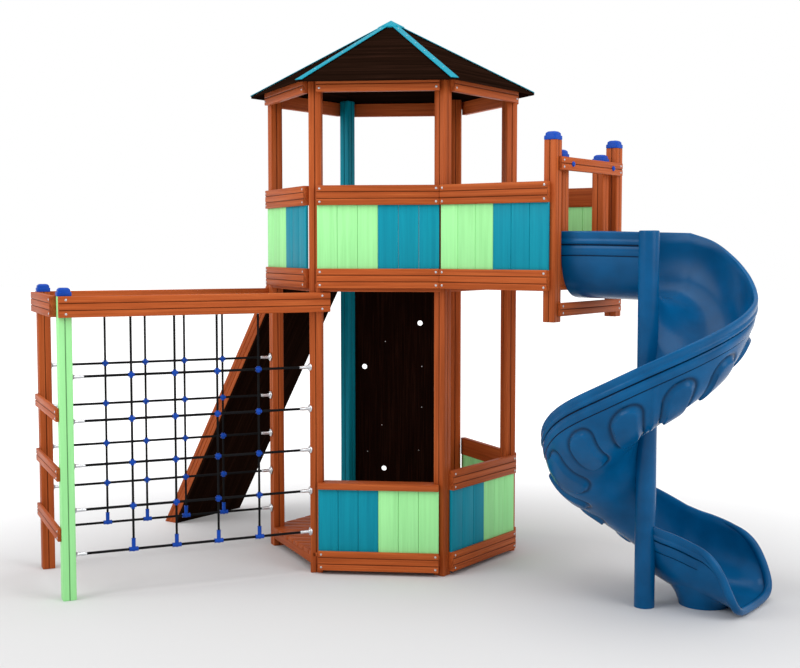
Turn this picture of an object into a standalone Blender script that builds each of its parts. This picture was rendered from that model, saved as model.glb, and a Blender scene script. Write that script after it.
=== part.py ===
# Wooden play structure: a hexagonal roofed tower with a slide deck and spiral slide on one side,
# a rope-net climbing frame on the other, a ramp and a climbing wall at the back.
# Metres, +Z up. The ground is z = 0 and the tower's front wall faces -Y.

import math

import bmesh
import bpy
import numpy as np
from mathutils import Matrix, Vector

for old in list(bpy.data.objects):
    bpy.data.objects.remove(old, do_unlink=True)

# Driving dimensions, in metres.
tower_x = -0.079  # the tower's centre, placed so that the whole part stands centred on the origin
tower_y = 0.3634
side = 0.91  # centre to centre of two neighbouring tower posts
apothem = side * math.sqrt(3) / 2
half_side = side / 2
gap = 0.0003  # between pieces that touch

post_width = 0.09
half_post = post_width / 2
post_round = 0.008
groove_width = 0.010
groove_depth = 0.006

rail_height = 0.14
rail_thickness = 0.045
plank_ease = 0.006
board_thickness = 0.02
board_back = 0.006  # from the posts' face to the back of the boards
wall_start = -half_side + 0.018  # a wall module begins just past the post that it is square to
wall_length = 0.873
wall_trim = 0.0125  # a slide deck wall's end is cut back where it meets a tower wall
boards_across = 6
joint_width = 0.005
joint_depth = 0.004
bite = 0.02  # how far boards run into the rails that hold them

upper_wall_foot = 2.07
lower_wall_foot = 0.03
wall_board_height = 0.45
wall_height = 2 * rail_height + wall_board_height
sill_depth = 0.14
sill_thickness = 0.045
sill_notch = 0.028  # how far the sill's notch at its right end steps in from the posts' face

deck_top = 2.10
deck_board = 0.028
deck_ring_foot = 2.045
deck_ring_width = 0.045
low_deck_top = 0.15
low_deck_board = 0.03
low_joist_foot = 0.06
low_joist_width = 0.06
low_joist_pitch = 0.36
slat_pitch = 0.10
slat_slot = 0.014

roof_edge_z = 3.53
roof_apex_z = 4.08
roof_corner = 1.098
roof_apothem = roof_corner * math.sqrt(3) / 2
roof_slope = (roof_apex_z - roof_edge_z) / roof_apothem
roof_sheet = 0.012
roof_sheet_drop = roof_sheet * math.hypot(1, roof_slope)  # the sheet's thickness, measured upright
eave_beam_foot = 3.455
ridge_strip_width = 0.06
ridge_strip_thick = 0.012
ridge_strip_start = 0.045
ridge_hub_apothem = 0.09
ridge_hub_lift = 0.0025
ridge_hub_thick = 0.016

extension_reach = 0.883  # from the line of the tower's posts to the slide deck's outer posts
outer_post_foot = 1.86
outer_post_top = 3.075
cap_height = 0.055
cap_width = 0.096
cap_steps = ((1, 0), (1, 0.4), (0.88, 0.5), (0.84, 0.75), (0.66, 1))  # shares of its width and height
cap_corner_share = 0.72  # where its corners are cut off
jamb_inset = 0.155  # along the doorway, from the outer posts
jamb_back = 0.03
jamb_top = 2.965
door_beam_height = 0.09
door_beam_thick = 0.024
door_beam_foot = 2.875
door_beam_length = 0.91
sill_beam_foot = 1.90

net_reach = 1.78
net_beam_foot = 1.90
net_beam_past = 0.075
net_post_top = 2.04
rung_feet = {"low": 0.40, "middle": 0.805, "high": 1.205}
rung_height = 0.09
rung_thick = 0.024
rung_length = 0.948
rope_radius = 0.009
dropper_radius = 0.0082
dropper_top = 1.96
net_rows = (0.30, 0.60, 0.90, 1.20, 1.50)
net_columns = (0.44, 0.74, 1.04, 1.34)  # from the tower post

ramp_slope = math.radians(60)
ramp_foot = 1.205  # from the line of the tower's posts to where the board's underside meets the ground
ramp_width = 0.784
ramp_board_thick = 0.02
ramp_rail_height = 0.106
ramp_rail_thick = 0.04

climb_board_thick = 0.018
climb_hole_radius = 0.0225
climb_holes = ((-0.153, 1.722), (0.320, 1.349), (0.155, 0.478))  # across the wall, and up

slide_pole_along = 2.316  # from the tower's centre
slide_pole_lateral = -0.338
slide_pole_radius = 0.067
slide_pole_top = 2.47
trough_wall = 0.016
trough_segments = 16
turn_step = 7.5
rim_flange = 0.012  # how far the rolled rim stands out from the wall
rim_flange_height = 0.086
pole_bite = 0.04  # how near the pole's middle the trough's inner wall comes
entry_half_width = 0.362
entry_squareness = 3.2  # 2 would make the trough's section half an ellipse
rim_entry = 2.471
turn_half_width = 0.335
turn_sections = {  # at each angle round the pole: the rim's height, the trough's depth, its squareness
    0: (2.450, 0.452, 2.9),
    30: (2.262, 0.440, 2.5),
    60: (2.082, 0.428, 2.3),
    90: (1.976, 0.454, 2.3),
    120: (1.851, 0.480, 2.3),
    150: (1.701, 0.470, 2.3),
    180: (1.527, 0.452, 2.3),
    210: (1.356, 0.446, 2.3),
    240: (1.157, 0.441, 2.3),
    270: (1.014, 0.434, 2.3),
    300: (0.864, 0.428, 2.3),
    330: (0.728, 0.430, 2.3),
    360: (0.565, 0.429, 2.4),
}
trough_split = 180  # the angle at which the trough's upper moulding meets its lower one
exit_sections = (  # past the pole: how far, the rim's and the underside's height, half width, squareness
    (0.000, 0.565, 0.136, 0.340, 2.4),
    (0.090, 0.536, 0.102, 0.346, 2.5),
    (0.200, 0.512, 0.076, 0.350, 2.6),
    (0.340, 0.468, 0.055, 0.352, 2.7),
    (0.430, 0.424, 0.046, 0.352, 2.8),
    (0.490, 0.360, 0.039, 0.351, 2.9),
    (0.535, 0.285, 0.033, 0.349, 2.9),
    (0.570, 0.200, 0.028, 0.344, 2.9),
    (0.595, 0.125, 0.023, 0.334, 2.9),
    (0.610, 0.075, 0.018, 0.316, 2.9),
)
foot_along = 0.294  # from the pole to the middle of the slide's foot
foot_lateral = -0.04
foot_radius = 0.17
foot_flare = 0.03


def material(name, colour, roughness, metallic=0.0):
    made = bpy.data.materials.new(name)
    made.use_nodes = True
    shader = made.node_tree.nodes["Principled BSDF"]
    shader.inputs["Base Color"].default_value = (*colour, 1.0)
    shader.inputs["Roughness"].default_value = roughness
    shader.inputs["Metallic"].default_value = metallic
    made.diffuse_color = (*colour, 1.0)
    return made


terracotta = material("terracotta_stained_wood", (0.42, 0.11, 0.042), 0.55)
teal_paint = material("teal_painted_wood", (0.012, 0.24, 0.30), 0.5)
green_paint = material("mint_painted_wood", (0.30, 0.75, 0.31), 0.5)
dark_ply = material("dark_film_faced_ply", (0.012, 0.006, 0.004), 0.45)
blue_plastic = material("royal_blue_plastic", (0.02, 0.06, 0.55), 0.35)
slide_plastic = material("blue_slide_plastic", (0.006, 0.12, 0.34), 0.3)
black_rope = material("black_rope", (0.01, 0.01, 0.01), 0.8)

tower = bpy.data.objects.new("tower_centre", None)
tower.location = (tower_x, tower_y, 0)
bpy.context.collection.objects.link(tower)


def side_turn(azimuth):
    """How far a piece drawn for the front wall turns, to stand on the side that faces azimuth."""
    return math.radians(azimuth - 270)


def new_object(name, form, look, location=(0, 0, 0), turn=0.0):
    """A mesh object from a bmesh, with its normals outwards and its material."""
    bmesh.ops.recalc_face_normals(form, faces=form.faces)
    mesh = bpy.data.meshes.new(name)
    form.to_mesh(mesh)
    form.free()
    mesh.materials.append(look)
    made = bpy.data.objects.new(name, mesh)
    made.parent = tower
    made.location = location
    made.rotation_euler = (0, 0, turn)
    bpy.context.collection.objects.link(made)
    return made


def prism(outline, along, start, end, form=None):
    """Adds a bar to a bmesh: the outline carried along one axis. along is x, y or z, and the
    outline's two numbers are the other two axes in the order x, y, z."""
    form = form or bmesh.new()
    axis = "xyz".index(along)

    def corner(pair, distance):
        numbers = list(pair)
        numbers.insert(axis, distance)
        return numbers

    first = [form.verts.new(corner(pair, start)) for pair in outline]
    last = [form.verts.new(corner(pair, end)) for pair in outline]
    form.faces.new(first)
    form.faces.new(last)
    count = len(outline)
    for k in range(count):
        following = (k + 1) % count
        form.faces.new((first[k], first[following], last[following], last[k]))
    return form


def box_form(low, high, form=None):
    (x0, y0, z0), (x1, y1, z1) = low, high
    return prism([(x0, y0), (x1, y0), (x1, y1), (x0, y1)], "z", z0, z1, form)


def post_outline():
    """A square post with its corners eased and a V groove down each face."""
    points = []
    for k in range(4):
        turn = Matrix.Rotation(k * math.pi / 2, 2)
        for pair in (
            (-half_post + post_round, -half_post),
            (-groove_width / 2, -half_post),
            (0, -half_post + groove_depth),
            (groove_width / 2, -half_post),
            (half_post - post_round, -half_post),
        ):
            points.append(tuple(turn @ Vector(pair)))
    return points


def plank_outline(out, back, foot, top, bands):
    """A plank's end, as (y, z): eased edges, and V grooves that part its outer face into bands.
    out and back are how far its faces stand from the post line, outwards."""
    groove = groove_width / 2
    ease = plank_ease
    points = [(-back, foot), (-out + ease, foot), (-out, foot + ease)]
    for k in range(1, bands):
        level = foot + (top - foot) * k / bands
        points += [(-out, level - groove), (-out + groove_depth, level), (-out, level + groove)]
    points += [(-out, top - ease), (-out + ease, top), (-back, top)]
    return points


def shifted(outline, reach):
    """Moves a plank's end outwards, from the tower's centre line to a line at that reach."""
    return [(y - reach, z) for y, z in outline]


def joined(keeper, others):
    """Joins pieces that run into each other into one solid, with Boolean unions."""
    for k, other in enumerate(others):
        union = keeper.modifiers.new(f"join_{k}", "BOOLEAN")
        union.operation = "UNION"
        union.object = other
        union.solver = "EXACT"
        hide_helper(other)


def hide_helper(helper):
    helper.hide_render = True
    helper.display_type = "WIRE"


def cut(target, cutter):
    difference = target.modifiers.new("cut_" + cutter.name, "BOOLEAN")
    difference.operation = "DIFFERENCE"
    difference.object = cutter
    difference.solver = "EXACT"
    hide_helper(cutter)


# Posts, each square to the wall that is next to it, anticlockwise seen from above.
def post(name, x, y, foot, top, azimuth, look=terracotta):
    form = prism(post_outline(), "z", foot, top)
    return new_object(name, form, look, (x, y, 0), side_turn(azimuth))


def square_cutter(name, x, y, low, high, azimuth):
    """The room that a post takes, with the gap to what is notched round it."""
    reach = half_post + gap
    form = box_form((-reach, -reach, low), (reach, reach, high))
    return new_object(name, form, terracotta, (x, y, 0), side_turn(azimuth))


def at_bearing(bearing, distance):
    """The place at that distance from the tower's centre."""
    return distance * math.cos(math.radians(bearing)), distance * math.sin(math.radians(bearing))


def out_from(azimuth, lateral, reach):
    """The place at that reach out from a side of the tower, and lateral along it."""
    turn = Matrix.Rotation(side_turn(azimuth), 2)
    return tuple(turn @ Vector((lateral, -apothem - reach)))


def roof_z(reach):
    """The height of a roof sheet's upper face at that reach from the tower's centre."""
    return roof_edge_z + (roof_apothem - reach) * roof_slope


# How far a post's square corner, and its eased edge, reach along the wall that is turned from it.
cos_30, sin_30 = math.cos(math.radians(30)), math.sin(math.radians(30))
post_corner_reach = half_post * (cos_30 + sin_30)
post_edge_reach = half_post * cos_30 + (half_post - post_round) * sin_30
tower_post_top = roof_z(apothem + post_edge_reach) - roof_sheet_drop - gap
tower_bearings = {
    "left": 180,
    "front_left": 240,
    "front_right": 300,
    "right": 0,
    "back_right": 60,
    "back_left": 120,
}
for where, bearing in tower_bearings.items():
    look = teal_paint if where == "back_left" else terracotta
    x, y = at_bearing(bearing, side)
    post("post_" + where, x, y, 0, tower_post_top, bearing + 30, look)


def notch_for_posts(target, wheres, low, high):
    """Cuts the room of the named tower posts out of a piece that is fitted round them."""
    for where in wheres:
        bearing = tower_bearings[where]
        x, y = at_bearing(bearing, side)
        cut(target, square_cutter(f"room_{target.name}_{where}", x, y, low, high, bearing + 30))


def cap(name, x, y, top, azimuth):
    """A moulded cap: a straight skirt, a step in, and a top that tapers to a flat."""
    form = bmesh.new()
    half = cap_width / 2
    rings = []
    for width_share, height_share in cap_steps:
        reach, height = width_share * half, height_share * cap_height
        short = cap_corner_share * reach
        corners = (
            (short, -reach), (reach, -short), (reach, short), (short, reach),
            (-short, reach), (-reach, short), (-reach, -short), (-short, -reach),
        )
        rings.append([form.verts.new((a, b, top + gap + height)) for a, b in corners])
    for lower, upper in zip(rings, rings[1:]):
        for k in range(8):
            following = (k + 1) % 8
            form.faces.new((lower[k], lower[following], upper[following], upper[k]))
    form.faces.new(rings[0])
    form.faces.new(rings[-1])
    new_object(name, form, blue_plastic, (x, y, 0), side_turn(azimuth))


jamb_lateral = half_side - jamb_inset
jamb_reach = extension_reach - jamb_back
for name, azimuth, lateral, reach, foot, top, look in (
    ("slide_deck_post_front", 330, -half_side, extension_reach, outer_post_foot, outer_post_top,
     terracotta),
    ("slide_deck_post_back", 330, half_side, extension_reach, outer_post_foot, outer_post_top,
     terracotta),
    ("doorway_jamb_front", 330, -jamb_lateral, jamb_reach, deck_top + gap, jamb_top, terracotta),
    ("doorway_jamb_back", 330, jamb_lateral, jamb_reach, deck_top + gap, jamb_top, terracotta),
    ("net_post_front", 210, half_side, net_reach, 0, net_post_top, green_paint),
    ("net_post_back", 210, -half_side, net_reach, 0, net_post_top, terracotta),
):
    x, y = out_from(azimuth, lateral, reach)
    post(name, x, y, foot, top, azimuth, look)
    cap(name + "_cap", x, y, top, azimuth)


# Walls: two grooved rails with six upright boards between them.
def boards_outline(start, length, face, back):
    """The boards from above, as (x, y): a V joint on both faces between each two boards."""
    width = length / boards_across
    outer, inner = [], []
    for k in range(1, boards_across):
        x = start + k * width
        left, right = x - joint_width / 2, x + joint_width / 2
        outer += [(left, -face), (x, -face + joint_depth), (right, -face)]
        inner = [(right, -back), (x, -back - joint_depth), (left, -back)] + inner
    end = start + length
    return [(start, -face)] + outer + [(end, -face), (end, -back)] + inner + [(start, -back)]


def rail_form(reach, start, end, foot, height=rail_height, thickness=rail_thickness, bands=3):
    """A grooved rail on the outer face of the posts that stand on the line at that reach."""
    outline = plank_outline(half_post + gap + thickness, half_post + gap, foot, foot + height, bands)
    return prism(shifted(outline, reach), "x", start, end)


def sill_form(reach, start, end, foot):
    """A plank laid flat on a wall's boards, notched back between the two posts."""
    inner_left = -half_side + half_post + gap
    inner_right = half_side - post_corner_reach - gap
    outer = -reach - half_post - gap - rail_thickness
    face = -reach - half_post - gap
    inside = outer + sill_depth
    corners = [
        (start, outer), (end, outer), (end, face), (inner_right, face + sill_notch),
        (inner_right, inside), (inner_left, inside), (inner_left, face), (start, face),
    ]
    return prism(corners, "z", foot, foot + sill_thickness)


def wall(name, azimuth, foot, reach=apothem, start=wall_start, length=wall_length, sill=False):
    """A wall between two posts. A sill wall has a plank laid flat instead of its top rail."""
    turn = side_turn(azimuth)
    end = start + length
    boards_foot = foot + rail_height
    boards_top = boards_foot + wall_board_height
    keeper = new_object(name, rail_form(reach, start, end, foot), terracotta, turn=turn)
    back = reach + half_post + gap + board_back
    inset = 0.0005
    outline = boards_outline(start + inset, length - 2 * inset, back + board_thickness, back)
    panel = prism(outline, "z", boards_foot - bite, boards_top + bite)
    boards = new_object(name + "_boards", panel, green_paint, turn=turn)
    if sill:
        top_form = sill_form(reach, start, end, boards_top)
    else:
        top_form = rail_form(reach, start, end, boards_top)
    top_rail = new_object(name + "_top_rail", top_form, terracotta, turn=turn)
    joined(keeper, [boards, top_rail])


wall("upper_wall_front", 270, upper_wall_foot)
wall("upper_wall_left", 210, upper_wall_foot)
wall("upper_wall_right", 30, upper_wall_foot)
wall("lower_wall_front", 270, lower_wall_foot, sill=True)
wall("lower_wall_slide_side", 330, lower_wall_foot)
wall("lower_wall_right", 30, lower_wall_foot)

# The slide deck's two side walls run out from the tower, square to the side that it stands on.
deck_wall_start = apothem + 0.018 + wall_trim
deck_wall_length = wall_length - wall_trim
wall(
    "slide_deck_wall_front", 240, upper_wall_foot, half_side, deck_wall_start, deck_wall_length
)
wall(
    "slide_deck_wall_back", 60, upper_wall_foot, half_side,
    -deck_wall_start - deck_wall_length, deck_wall_length,
)

# Eave beams, one on each side, up against the underside of the roof.
beam_top_reach = apothem + half_post + gap + rail_thickness - plank_ease
eave_beam_top = roof_z(beam_top_reach) - roof_sheet_drop - gap
side_azimuths = {
    "front": 270,
    "slide_side": 330,
    "right": 30,
    "back": 90,
    "ramp_side": 150,
    "left": 210,
}
for where, azimuth in side_azimuths.items():
    form = rail_form(
        apothem, wall_start, wall_start + wall_length, eave_beam_foot,
        height=eave_beam_top - eave_beam_foot, bands=2,
    )
    new_object("eave_beam_" + where, form, terracotta, turn=side_turn(azimuth))


# Roof: six triangular sheets, and strips over the joints between them.
sheet_half = roof_corner / 2 - gap / 2 / cos_30
for where, azimuth in side_azimuths.items():
    form = bmesh.new()
    plan = ((0, gap), (-sheet_half, roof_apothem), (sheet_half, roof_apothem))
    upper = [form.verts.new((x, -reach, roof_z(reach))) for x, reach in plan]
    lower = [form.verts.new((x, -reach, roof_z(reach) - roof_sheet_drop)) for x, reach in plan]
    form.faces.new(upper)
    form.faces.new(lower)
    for k in range(3):
        following = (k + 1) % 3
        form.faces.new((upper[k], upper[following], lower[following], lower[k]))
    new_object("roof_sheet_" + where, form, dark_ply, turn=side_turn(azimuth))


def ridge_strip_form(bearing):
    """A flat strip laid down one ridge, over the joint between two sheets."""
    form = bmesh.new()
    half = ridge_strip_width / 2
    along = Vector((*at_bearing(bearing, 1), 0))
    across = Vector((-along.y, along.x, 0))
    rings = []
    for reach in (ridge_strip_start, roof_corner):
        under = roof_z(reach * cos_30) + 1.5 * gap
        ring = []
        for lateral, z in (
            (-half, under), (half, under),
            (half, under + ridge_strip_thick), (-half, under + ridge_strip_thick),
        ):
            point = along * reach + across * lateral
            ring.append(form.verts.new((point.x, point.y, z)))
        rings.append(ring)
    for k in range(4):
        following = (k + 1) % 4
        form.faces.new((rings[0][k], rings[0][following], rings[1][following], rings[1][k]))
    form.faces.new(rings[0])
    form.faces.new(rings[1])
    return form


def ridge_hub_form():
    """A small six-sided cap over the apex, where the strips meet."""
    form = bmesh.new()
    radius = ridge_hub_apothem / cos_30
    under_rim, over_rim = [], []
    for k in range(6):
        x, y = at_bearing(60 * k, radius)
        z = roof_z(ridge_hub_apothem) + ridge_hub_lift
        under_rim.append(form.verts.new((x, y, z)))
        over_rim.append(form.verts.new((x, y, z + ridge_hub_thick)))
    under_apex = form.verts.new((0, 0, roof_apex_z + ridge_hub_lift))
    over_apex = form.verts.new((0, 0, roof_apex_z + ridge_hub_lift + ridge_hub_thick))
    for k in range(6):
        following = (k + 1) % 6
        form.faces.new((under_rim[k], under_rim[following], under_apex))
        form.faces.new((over_rim[following], over_rim[k], over_apex))
        form.faces.new((under_rim[following], under_rim[k], over_rim[k], over_rim[following]))
    return form


hub = new_object("ridge_strips", ridge_hub_form(), teal_paint)
strips = [new_object(f"ridge_strip_{k}", ridge_strip_form(60 * k), teal_paint) for k in range(6)]
joined(hub, strips)


# Decks.
def hexagon(apothem_here):
    radius = apothem_here / cos_30
    return [at_bearing(60 * k, radius) for k in range(6)]


def ring_form(outer, inner, low, high):
    """A six-sided ring, from its two apothems."""
    form = bmesh.new()
    loops = []
    for apothem_here, z in ((outer, low), (outer, high), (inner, high), (inner, low)):
        loops.append([form.verts.new((x, y, z)) for x, y in hexagon(apothem_here)])
    for first, second in zip(loops, loops[1:] + loops[:1]):
        for k in range(6):
            following = (k + 1) % 6
            form.faces.new((first[k], first[following], second[following], second[k]))
    return form


deck_edge = apothem + half_post
all_posts = tuple(tower_bearings)

tower_deck = new_object(
    "tower_deck", prism(hexagon(deck_edge), "z", deck_top - deck_board, deck_top), terracotta
)
ring_edge = deck_edge - 0.002  # the rings and joists stop just short of the boards' edge
overlap = 0.004  # how far rings and joists run up into the boards that they are joined to
deck_ring_top = deck_top - deck_board + overlap
deck_ring = new_object(
    "tower_deck_ring",
    ring_form(ring_edge, deck_edge - deck_ring_width, deck_ring_foot, deck_ring_top),
    terracotta,
)
joined(tower_deck, [deck_ring])
notch_for_posts(tower_deck, all_posts, deck_ring_foot - 0.05, deck_top + 0.05)

low_deck = new_object(
    "low_deck", prism(hexagon(deck_edge), "z", low_deck_top - low_deck_board, low_deck_top), terracotta
)
support_top = low_deck_top - low_deck_board + overlap
low_ring = ring_form(ring_edge, deck_edge - deck_ring_width, low_joist_foot, support_top)
low_joists = bmesh.new()
joist_end = deck_edge - 0.02
for x in (-low_joist_pitch, 0, low_joist_pitch):
    box_form(
        (x - low_joist_width / 2, -joist_end, low_joist_foot + 0.003),
        (x + low_joist_width / 2, joist_end, support_top + 0.002), low_joists,
    )
joined(low_deck, [
    new_object("low_deck_ring", low_ring, terracotta),
    new_object("low_deck_joists", low_joists, terracotta),
])
notch_for_posts(low_deck, all_posts, 0, low_deck_top + 0.05)
slots = bmesh.new()
slot_count = int(deck_edge / slat_pitch)
for k in range(-slot_count, slot_count):
    y = (k + 0.5) * slat_pitch
    box_form(
        (-1.2, y - slat_slot / 2, low_deck_top - low_deck_board - 0.006),
        (1.2, y + slat_slot / 2, low_deck_top + 0.02), slots,
    )
cut(low_deck, new_object("low_deck_slots", slots, terracotta))

deck_end = apothem + jamb_reach + half_post
slide_deck = new_object(
    "slide_deck",
    box_form((-half_side - half_post, -deck_end, deck_top - deck_board),
             (half_side + half_post, -deck_edge - gap, deck_top)),
    terracotta, turn=side_turn(330),
)
notch_for_posts(slide_deck, ("right",), 2.0, 2.2)
for k, lateral in enumerate((-half_side, half_side)):
    x, y = out_from(330, lateral, extension_reach)
    cut(slide_deck, square_cutter(f"room_slide_deck_{k}", x, y, 2.0, 2.2, 330))

# The two beams across the slide deck's outer posts.
for name, foot in (("door_beam", door_beam_foot), ("sill_beam", sill_beam_foot)):
    form = rail_form(
        apothem + extension_reach, -door_beam_length / 2, door_beam_length / 2, foot,
        height=door_beam_height, thickness=door_beam_thick, bands=2,
    )
    new_object(name, form, terracotta, turn=side_turn(330))

# Net frame: three beams and three rungs.
net_end = apothem + net_reach + half_post
front_beam = new_object(
    "net_beam_front", rail_form(half_side, -net_end, -apothem + net_beam_past, net_beam_foot),
    terracotta, turn=side_turn(300),
)
notch_for_posts(front_beam, ("front_left",), net_beam_foot - 0.05, net_beam_foot + 0.2)
new_object(
    "net_beam_back", rail_form(half_side, apothem, net_end, net_beam_foot),
    terracotta, turn=side_turn(120),
)
new_object(
    "net_beam_end", rail_form(apothem + net_reach, -wall_length / 2, wall_length / 2, net_beam_foot),
    terracotta, turn=side_turn(210),
)
for where, foot in rung_feet.items():
    form = rail_form(
        apothem + net_reach, -rung_length / 2, rung_length / 2, foot,
        height=rung_height, thickness=rung_thick, bands=2,
    )
    new_object("rung_" + where, form, terracotta, turn=side_turn(210))


# Nets: level ropes from post to post, and droppers that hang from the beam above.
def bar_outline(radius, a, b):
    """Six corners of a thin round bar about the place (a, b)."""
    corners = []
    for k in range(6):
        angle = math.radians(60 * k + 15)
        corners.append((a + radius * math.cos(angle), b + radius * math.sin(angle)))
    return corners


def net(name, azimuth, toward_end, tower_post):
    """A net in the plane through two posts. toward_end is the way from the tower to the net's end."""
    turn = side_turn(azimuth)
    level = bmesh.new()
    for height in net_rows:
        ends = sorted((toward_end * apothem, toward_end * (apothem + net_reach)))
        prism(bar_outline(rope_radius, -half_side, height), "x", ends[0], ends[1], level)
    keeper = new_object(name, level, black_rope, turn=turn)
    uprights = bmesh.new()
    hooks = bmesh.new()
    for column in net_columns:
        x = toward_end * (apothem + column)
        prism(bar_outline(dropper_radius, x, -half_side), "z", net_rows[0] - 0.02, dropper_top, uprights)
        prism(
            bar_outline(0.9 * dropper_radius, x, dropper_top - 0.012), "y",
            -half_side - half_post, -half_side + 0.002, hooks,
        )
    others = [
        new_object(name + "_droppers", uprights, black_rope, turn=turn),
        new_object(name + "_hooks", hooks, black_rope, turn=turn),
    ]
    joined(keeper, others)
    notch_for_posts(keeper, (tower_post,), 0.1, 1.8)
    x, y = out_from(210, half_side if azimuth == 300 else -half_side, net_reach)
    cut(keeper, square_cutter(f"room_{name}_end", x, y, 0.1, 1.8, 210))


net("net_front", 300, -1, "front_left")
net("net_back", 120, 1, "left")

# Ramp: a board that leans on the tower's deck, with a rail on each edge of its upper face.
ramp_out = apothem + ramp_foot
ramp_top = deck_edge + gap


def ramp_outline(under, over):
    """A slice of the ramp from the side, as (y, z), between two distances square to its underside."""
    low, high = under / math.sin(ramp_slope), over / math.sin(ramp_slope)
    rise = math.tan(ramp_slope)
    return [
        (-ramp_out - low, 0), (-ramp_out - high, 0),
        (-ramp_top, (ramp_out + high - ramp_top) * rise), (-ramp_top, (ramp_out + low - ramp_top) * rise),
    ]


ramp_half = ramp_width / 2
new_object(
    "ramp_board", prism(ramp_outline(0, ramp_board_thick), "x", -ramp_half, ramp_half),
    dark_ply, turn=side_turn(150),
)
rail_low = ramp_board_thick + gap
for where, inner in (("front", ramp_half - ramp_rail_thick), ("back", -ramp_half)):
    form = prism(
        ramp_outline(rail_low, rail_low + ramp_rail_height), "x", inner, inner + ramp_rail_thick
    )
    new_object("ramp_rail_" + where, form, terracotta, turn=side_turn(150))

# Climbing wall: a plain board with three holes, from just over the ground to the deck.
climb_face = apothem + half_post + gap
climbing_wall = new_object(
    "climbing_wall",
    box_form((wall_start, -climb_face - climb_board_thick, lower_wall_foot),
             (wall_start + wall_length, -climb_face, deck_top)),
    dark_ply, turn=side_turn(90),
)
holes = bmesh.new()
for x, z in climb_holes:
    ring = []
    for k in range(24):
        angle = 2 * math.pi * k / 24
        ring.append((x + climb_hole_radius * math.cos(angle), z + climb_hole_radius * math.sin(angle)))
    prism(ring, "y", -climb_face - 0.05, -climb_face + 0.05, holes)
cut(climbing_wall, new_object("climbing_wall_holes", holes, dark_ply, turn=side_turn(90)))


# Slide: a moulded trough that runs in from the deck, winds once round its pole and runs out.
def turn_section(turned):
    """The rim's height, the depth and the squareness at an angle round the pole: smooth curves
    through the stated values."""
    angles = sorted(turn_sections)
    k = min(int(turned // 30), len(angles) - 2)
    t = (turned - angles[k]) / (angles[k + 1] - angles[k])
    rows = [turn_sections[angles[n]] for n in (max(k - 1, 0), k, k + 1, min(k + 2, len(angles) - 1))]
    values = []
    for before, first, second, after in zip(*rows):
        values.append(
            first * (2 * t ** 3 - 3 * t ** 2 + 1) + (second - before) / 2 * (t ** 3 - 2 * t ** 2 + t)
            + second * (-2 * t ** 3 + 3 * t ** 2) + (after - first) / 2 * (t ** 3 - t ** 2)
        )
    return values


def trough_skins(half_width, depth, squareness):
    """The trough's outer skin from one rim to the other, and its inner skin back, as pairs of
    (across, below the rim). The outer skin starts and ends with the rolled rim."""
    power = 2 / squareness

    def skin(width, drop, first, last, toward):
        points = []
        for k in range(first, last):
            angle = math.pi * k / trough_segments
            across = -toward * math.cos(angle)
            reach = width * math.copysign(abs(across) ** power, across)
            points.append((reach, drop * max(math.sin(angle), 0) ** power))
        return points

    flange_low = min(rim_flange_height, 0.4 * depth)
    flange_out = half_width + rim_flange * min(1, depth / 0.2)
    under = flange_low + 0.006
    in_wall = half_width * (1 - (under / depth) ** squareness) ** (1 / squareness)
    outer = [(-flange_out, 0.003), (-flange_out, flange_low), (-in_wall, under)]
    outer += skin(half_width, depth, 2, trough_segments - 1, 1)
    outer += [(in_wall, under), (flange_out, flange_low), (flange_out, 0.003)]
    thick = min(trough_wall, 0.6 * depth)
    return outer, skin(half_width - thick, depth - thick, 0, trough_segments + 1, -1)


def held_off_the_pole(skins):
    """Both skins, kept from reaching past the pole's middle."""
    outer, inner = skins
    nearest = slide_pole_lateral + pole_bite
    outer = [(max(across, nearest), below) for across, below in outer]
    inner = [(max(across, nearest + trough_wall), below) for across, below in inner]
    return outer, inner


def trough_stations():
    """Each station of the trough: its middle's place, the way across it, its rim and its skins.
    The upper moulding's come first, and then the lower one's."""
    pole = Vector((slide_pole_lateral, -slide_pole_along))
    straight = Vector((1, 0))
    entry_run = slide_pole_along - deck_end - gap
    rim_at_turn, depth_at_turn, squareness_at_turn = turn_section(0)
    upper, lower = [], []
    for k in range(4):
        part = k / 4
        rim = rim_entry + (rim_at_turn - rim_entry) * part ** 2
        half_width = entry_half_width + (turn_half_width - entry_half_width) * part
        squareness = entry_squareness + (squareness_at_turn - entry_squareness) * part
        place = Vector((0, -deck_end - gap - entry_run * part))
        upper.append((place, straight, rim, trough_skins(half_width, depth_at_turn, squareness)))
    count = round(360 / turn_step)
    for k in range(count + 1):
        turned = k * turn_step
        angle = math.radians(turned)
        across = Vector((math.cos(angle), -math.sin(angle)))
        rim, depth, squareness = turn_section(turned)
        skins = trough_skins(turn_half_width, depth, squareness)
        if 0 < k < count:
            skins = held_off_the_pole(skins)
        place = pole - across * slide_pole_lateral
        if turned <= trough_split:
            upper.append((place, across, rim, skins))
        if turned == trough_split:
            place = place + Vector((across.y, -across.x)) * gap
        if turned >= trough_split:
            lower.append((place, across, rim, skins))
    for past, rim, under, half_width, squareness in exit_sections[1:]:
        place = Vector((0, -slide_pole_along - past))
        lower.append((place, straight, rim, trough_skins(half_width, rim - under, squareness)))
    return upper, lower


def trough_form(stations):
    form = bmesh.new()
    loops = []
    for place, across, rim, (outer, inner) in stations:
        loop = []
        for lateral, below in outer + inner:
            point = place + across * lateral
            loop.append(form.verts.new((point.x, point.y, rim - below)))
        loops.append(loop)
    for first, second in zip(loops, loops[1:]):
        for k in range(len(first)):
            following = (k + 1) % len(first)
            form.faces.new((first[k], first[following], second[following], second[k]))
    ends = [form.faces.new(loops[0]), form.faces.new(loops[-1])]
    bmesh.ops.triangulate(form, faces=ends, ngon_method="EAR_CLIP")
    bmesh.ops.triangulate(form, faces=form.faces)
    return form


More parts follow.
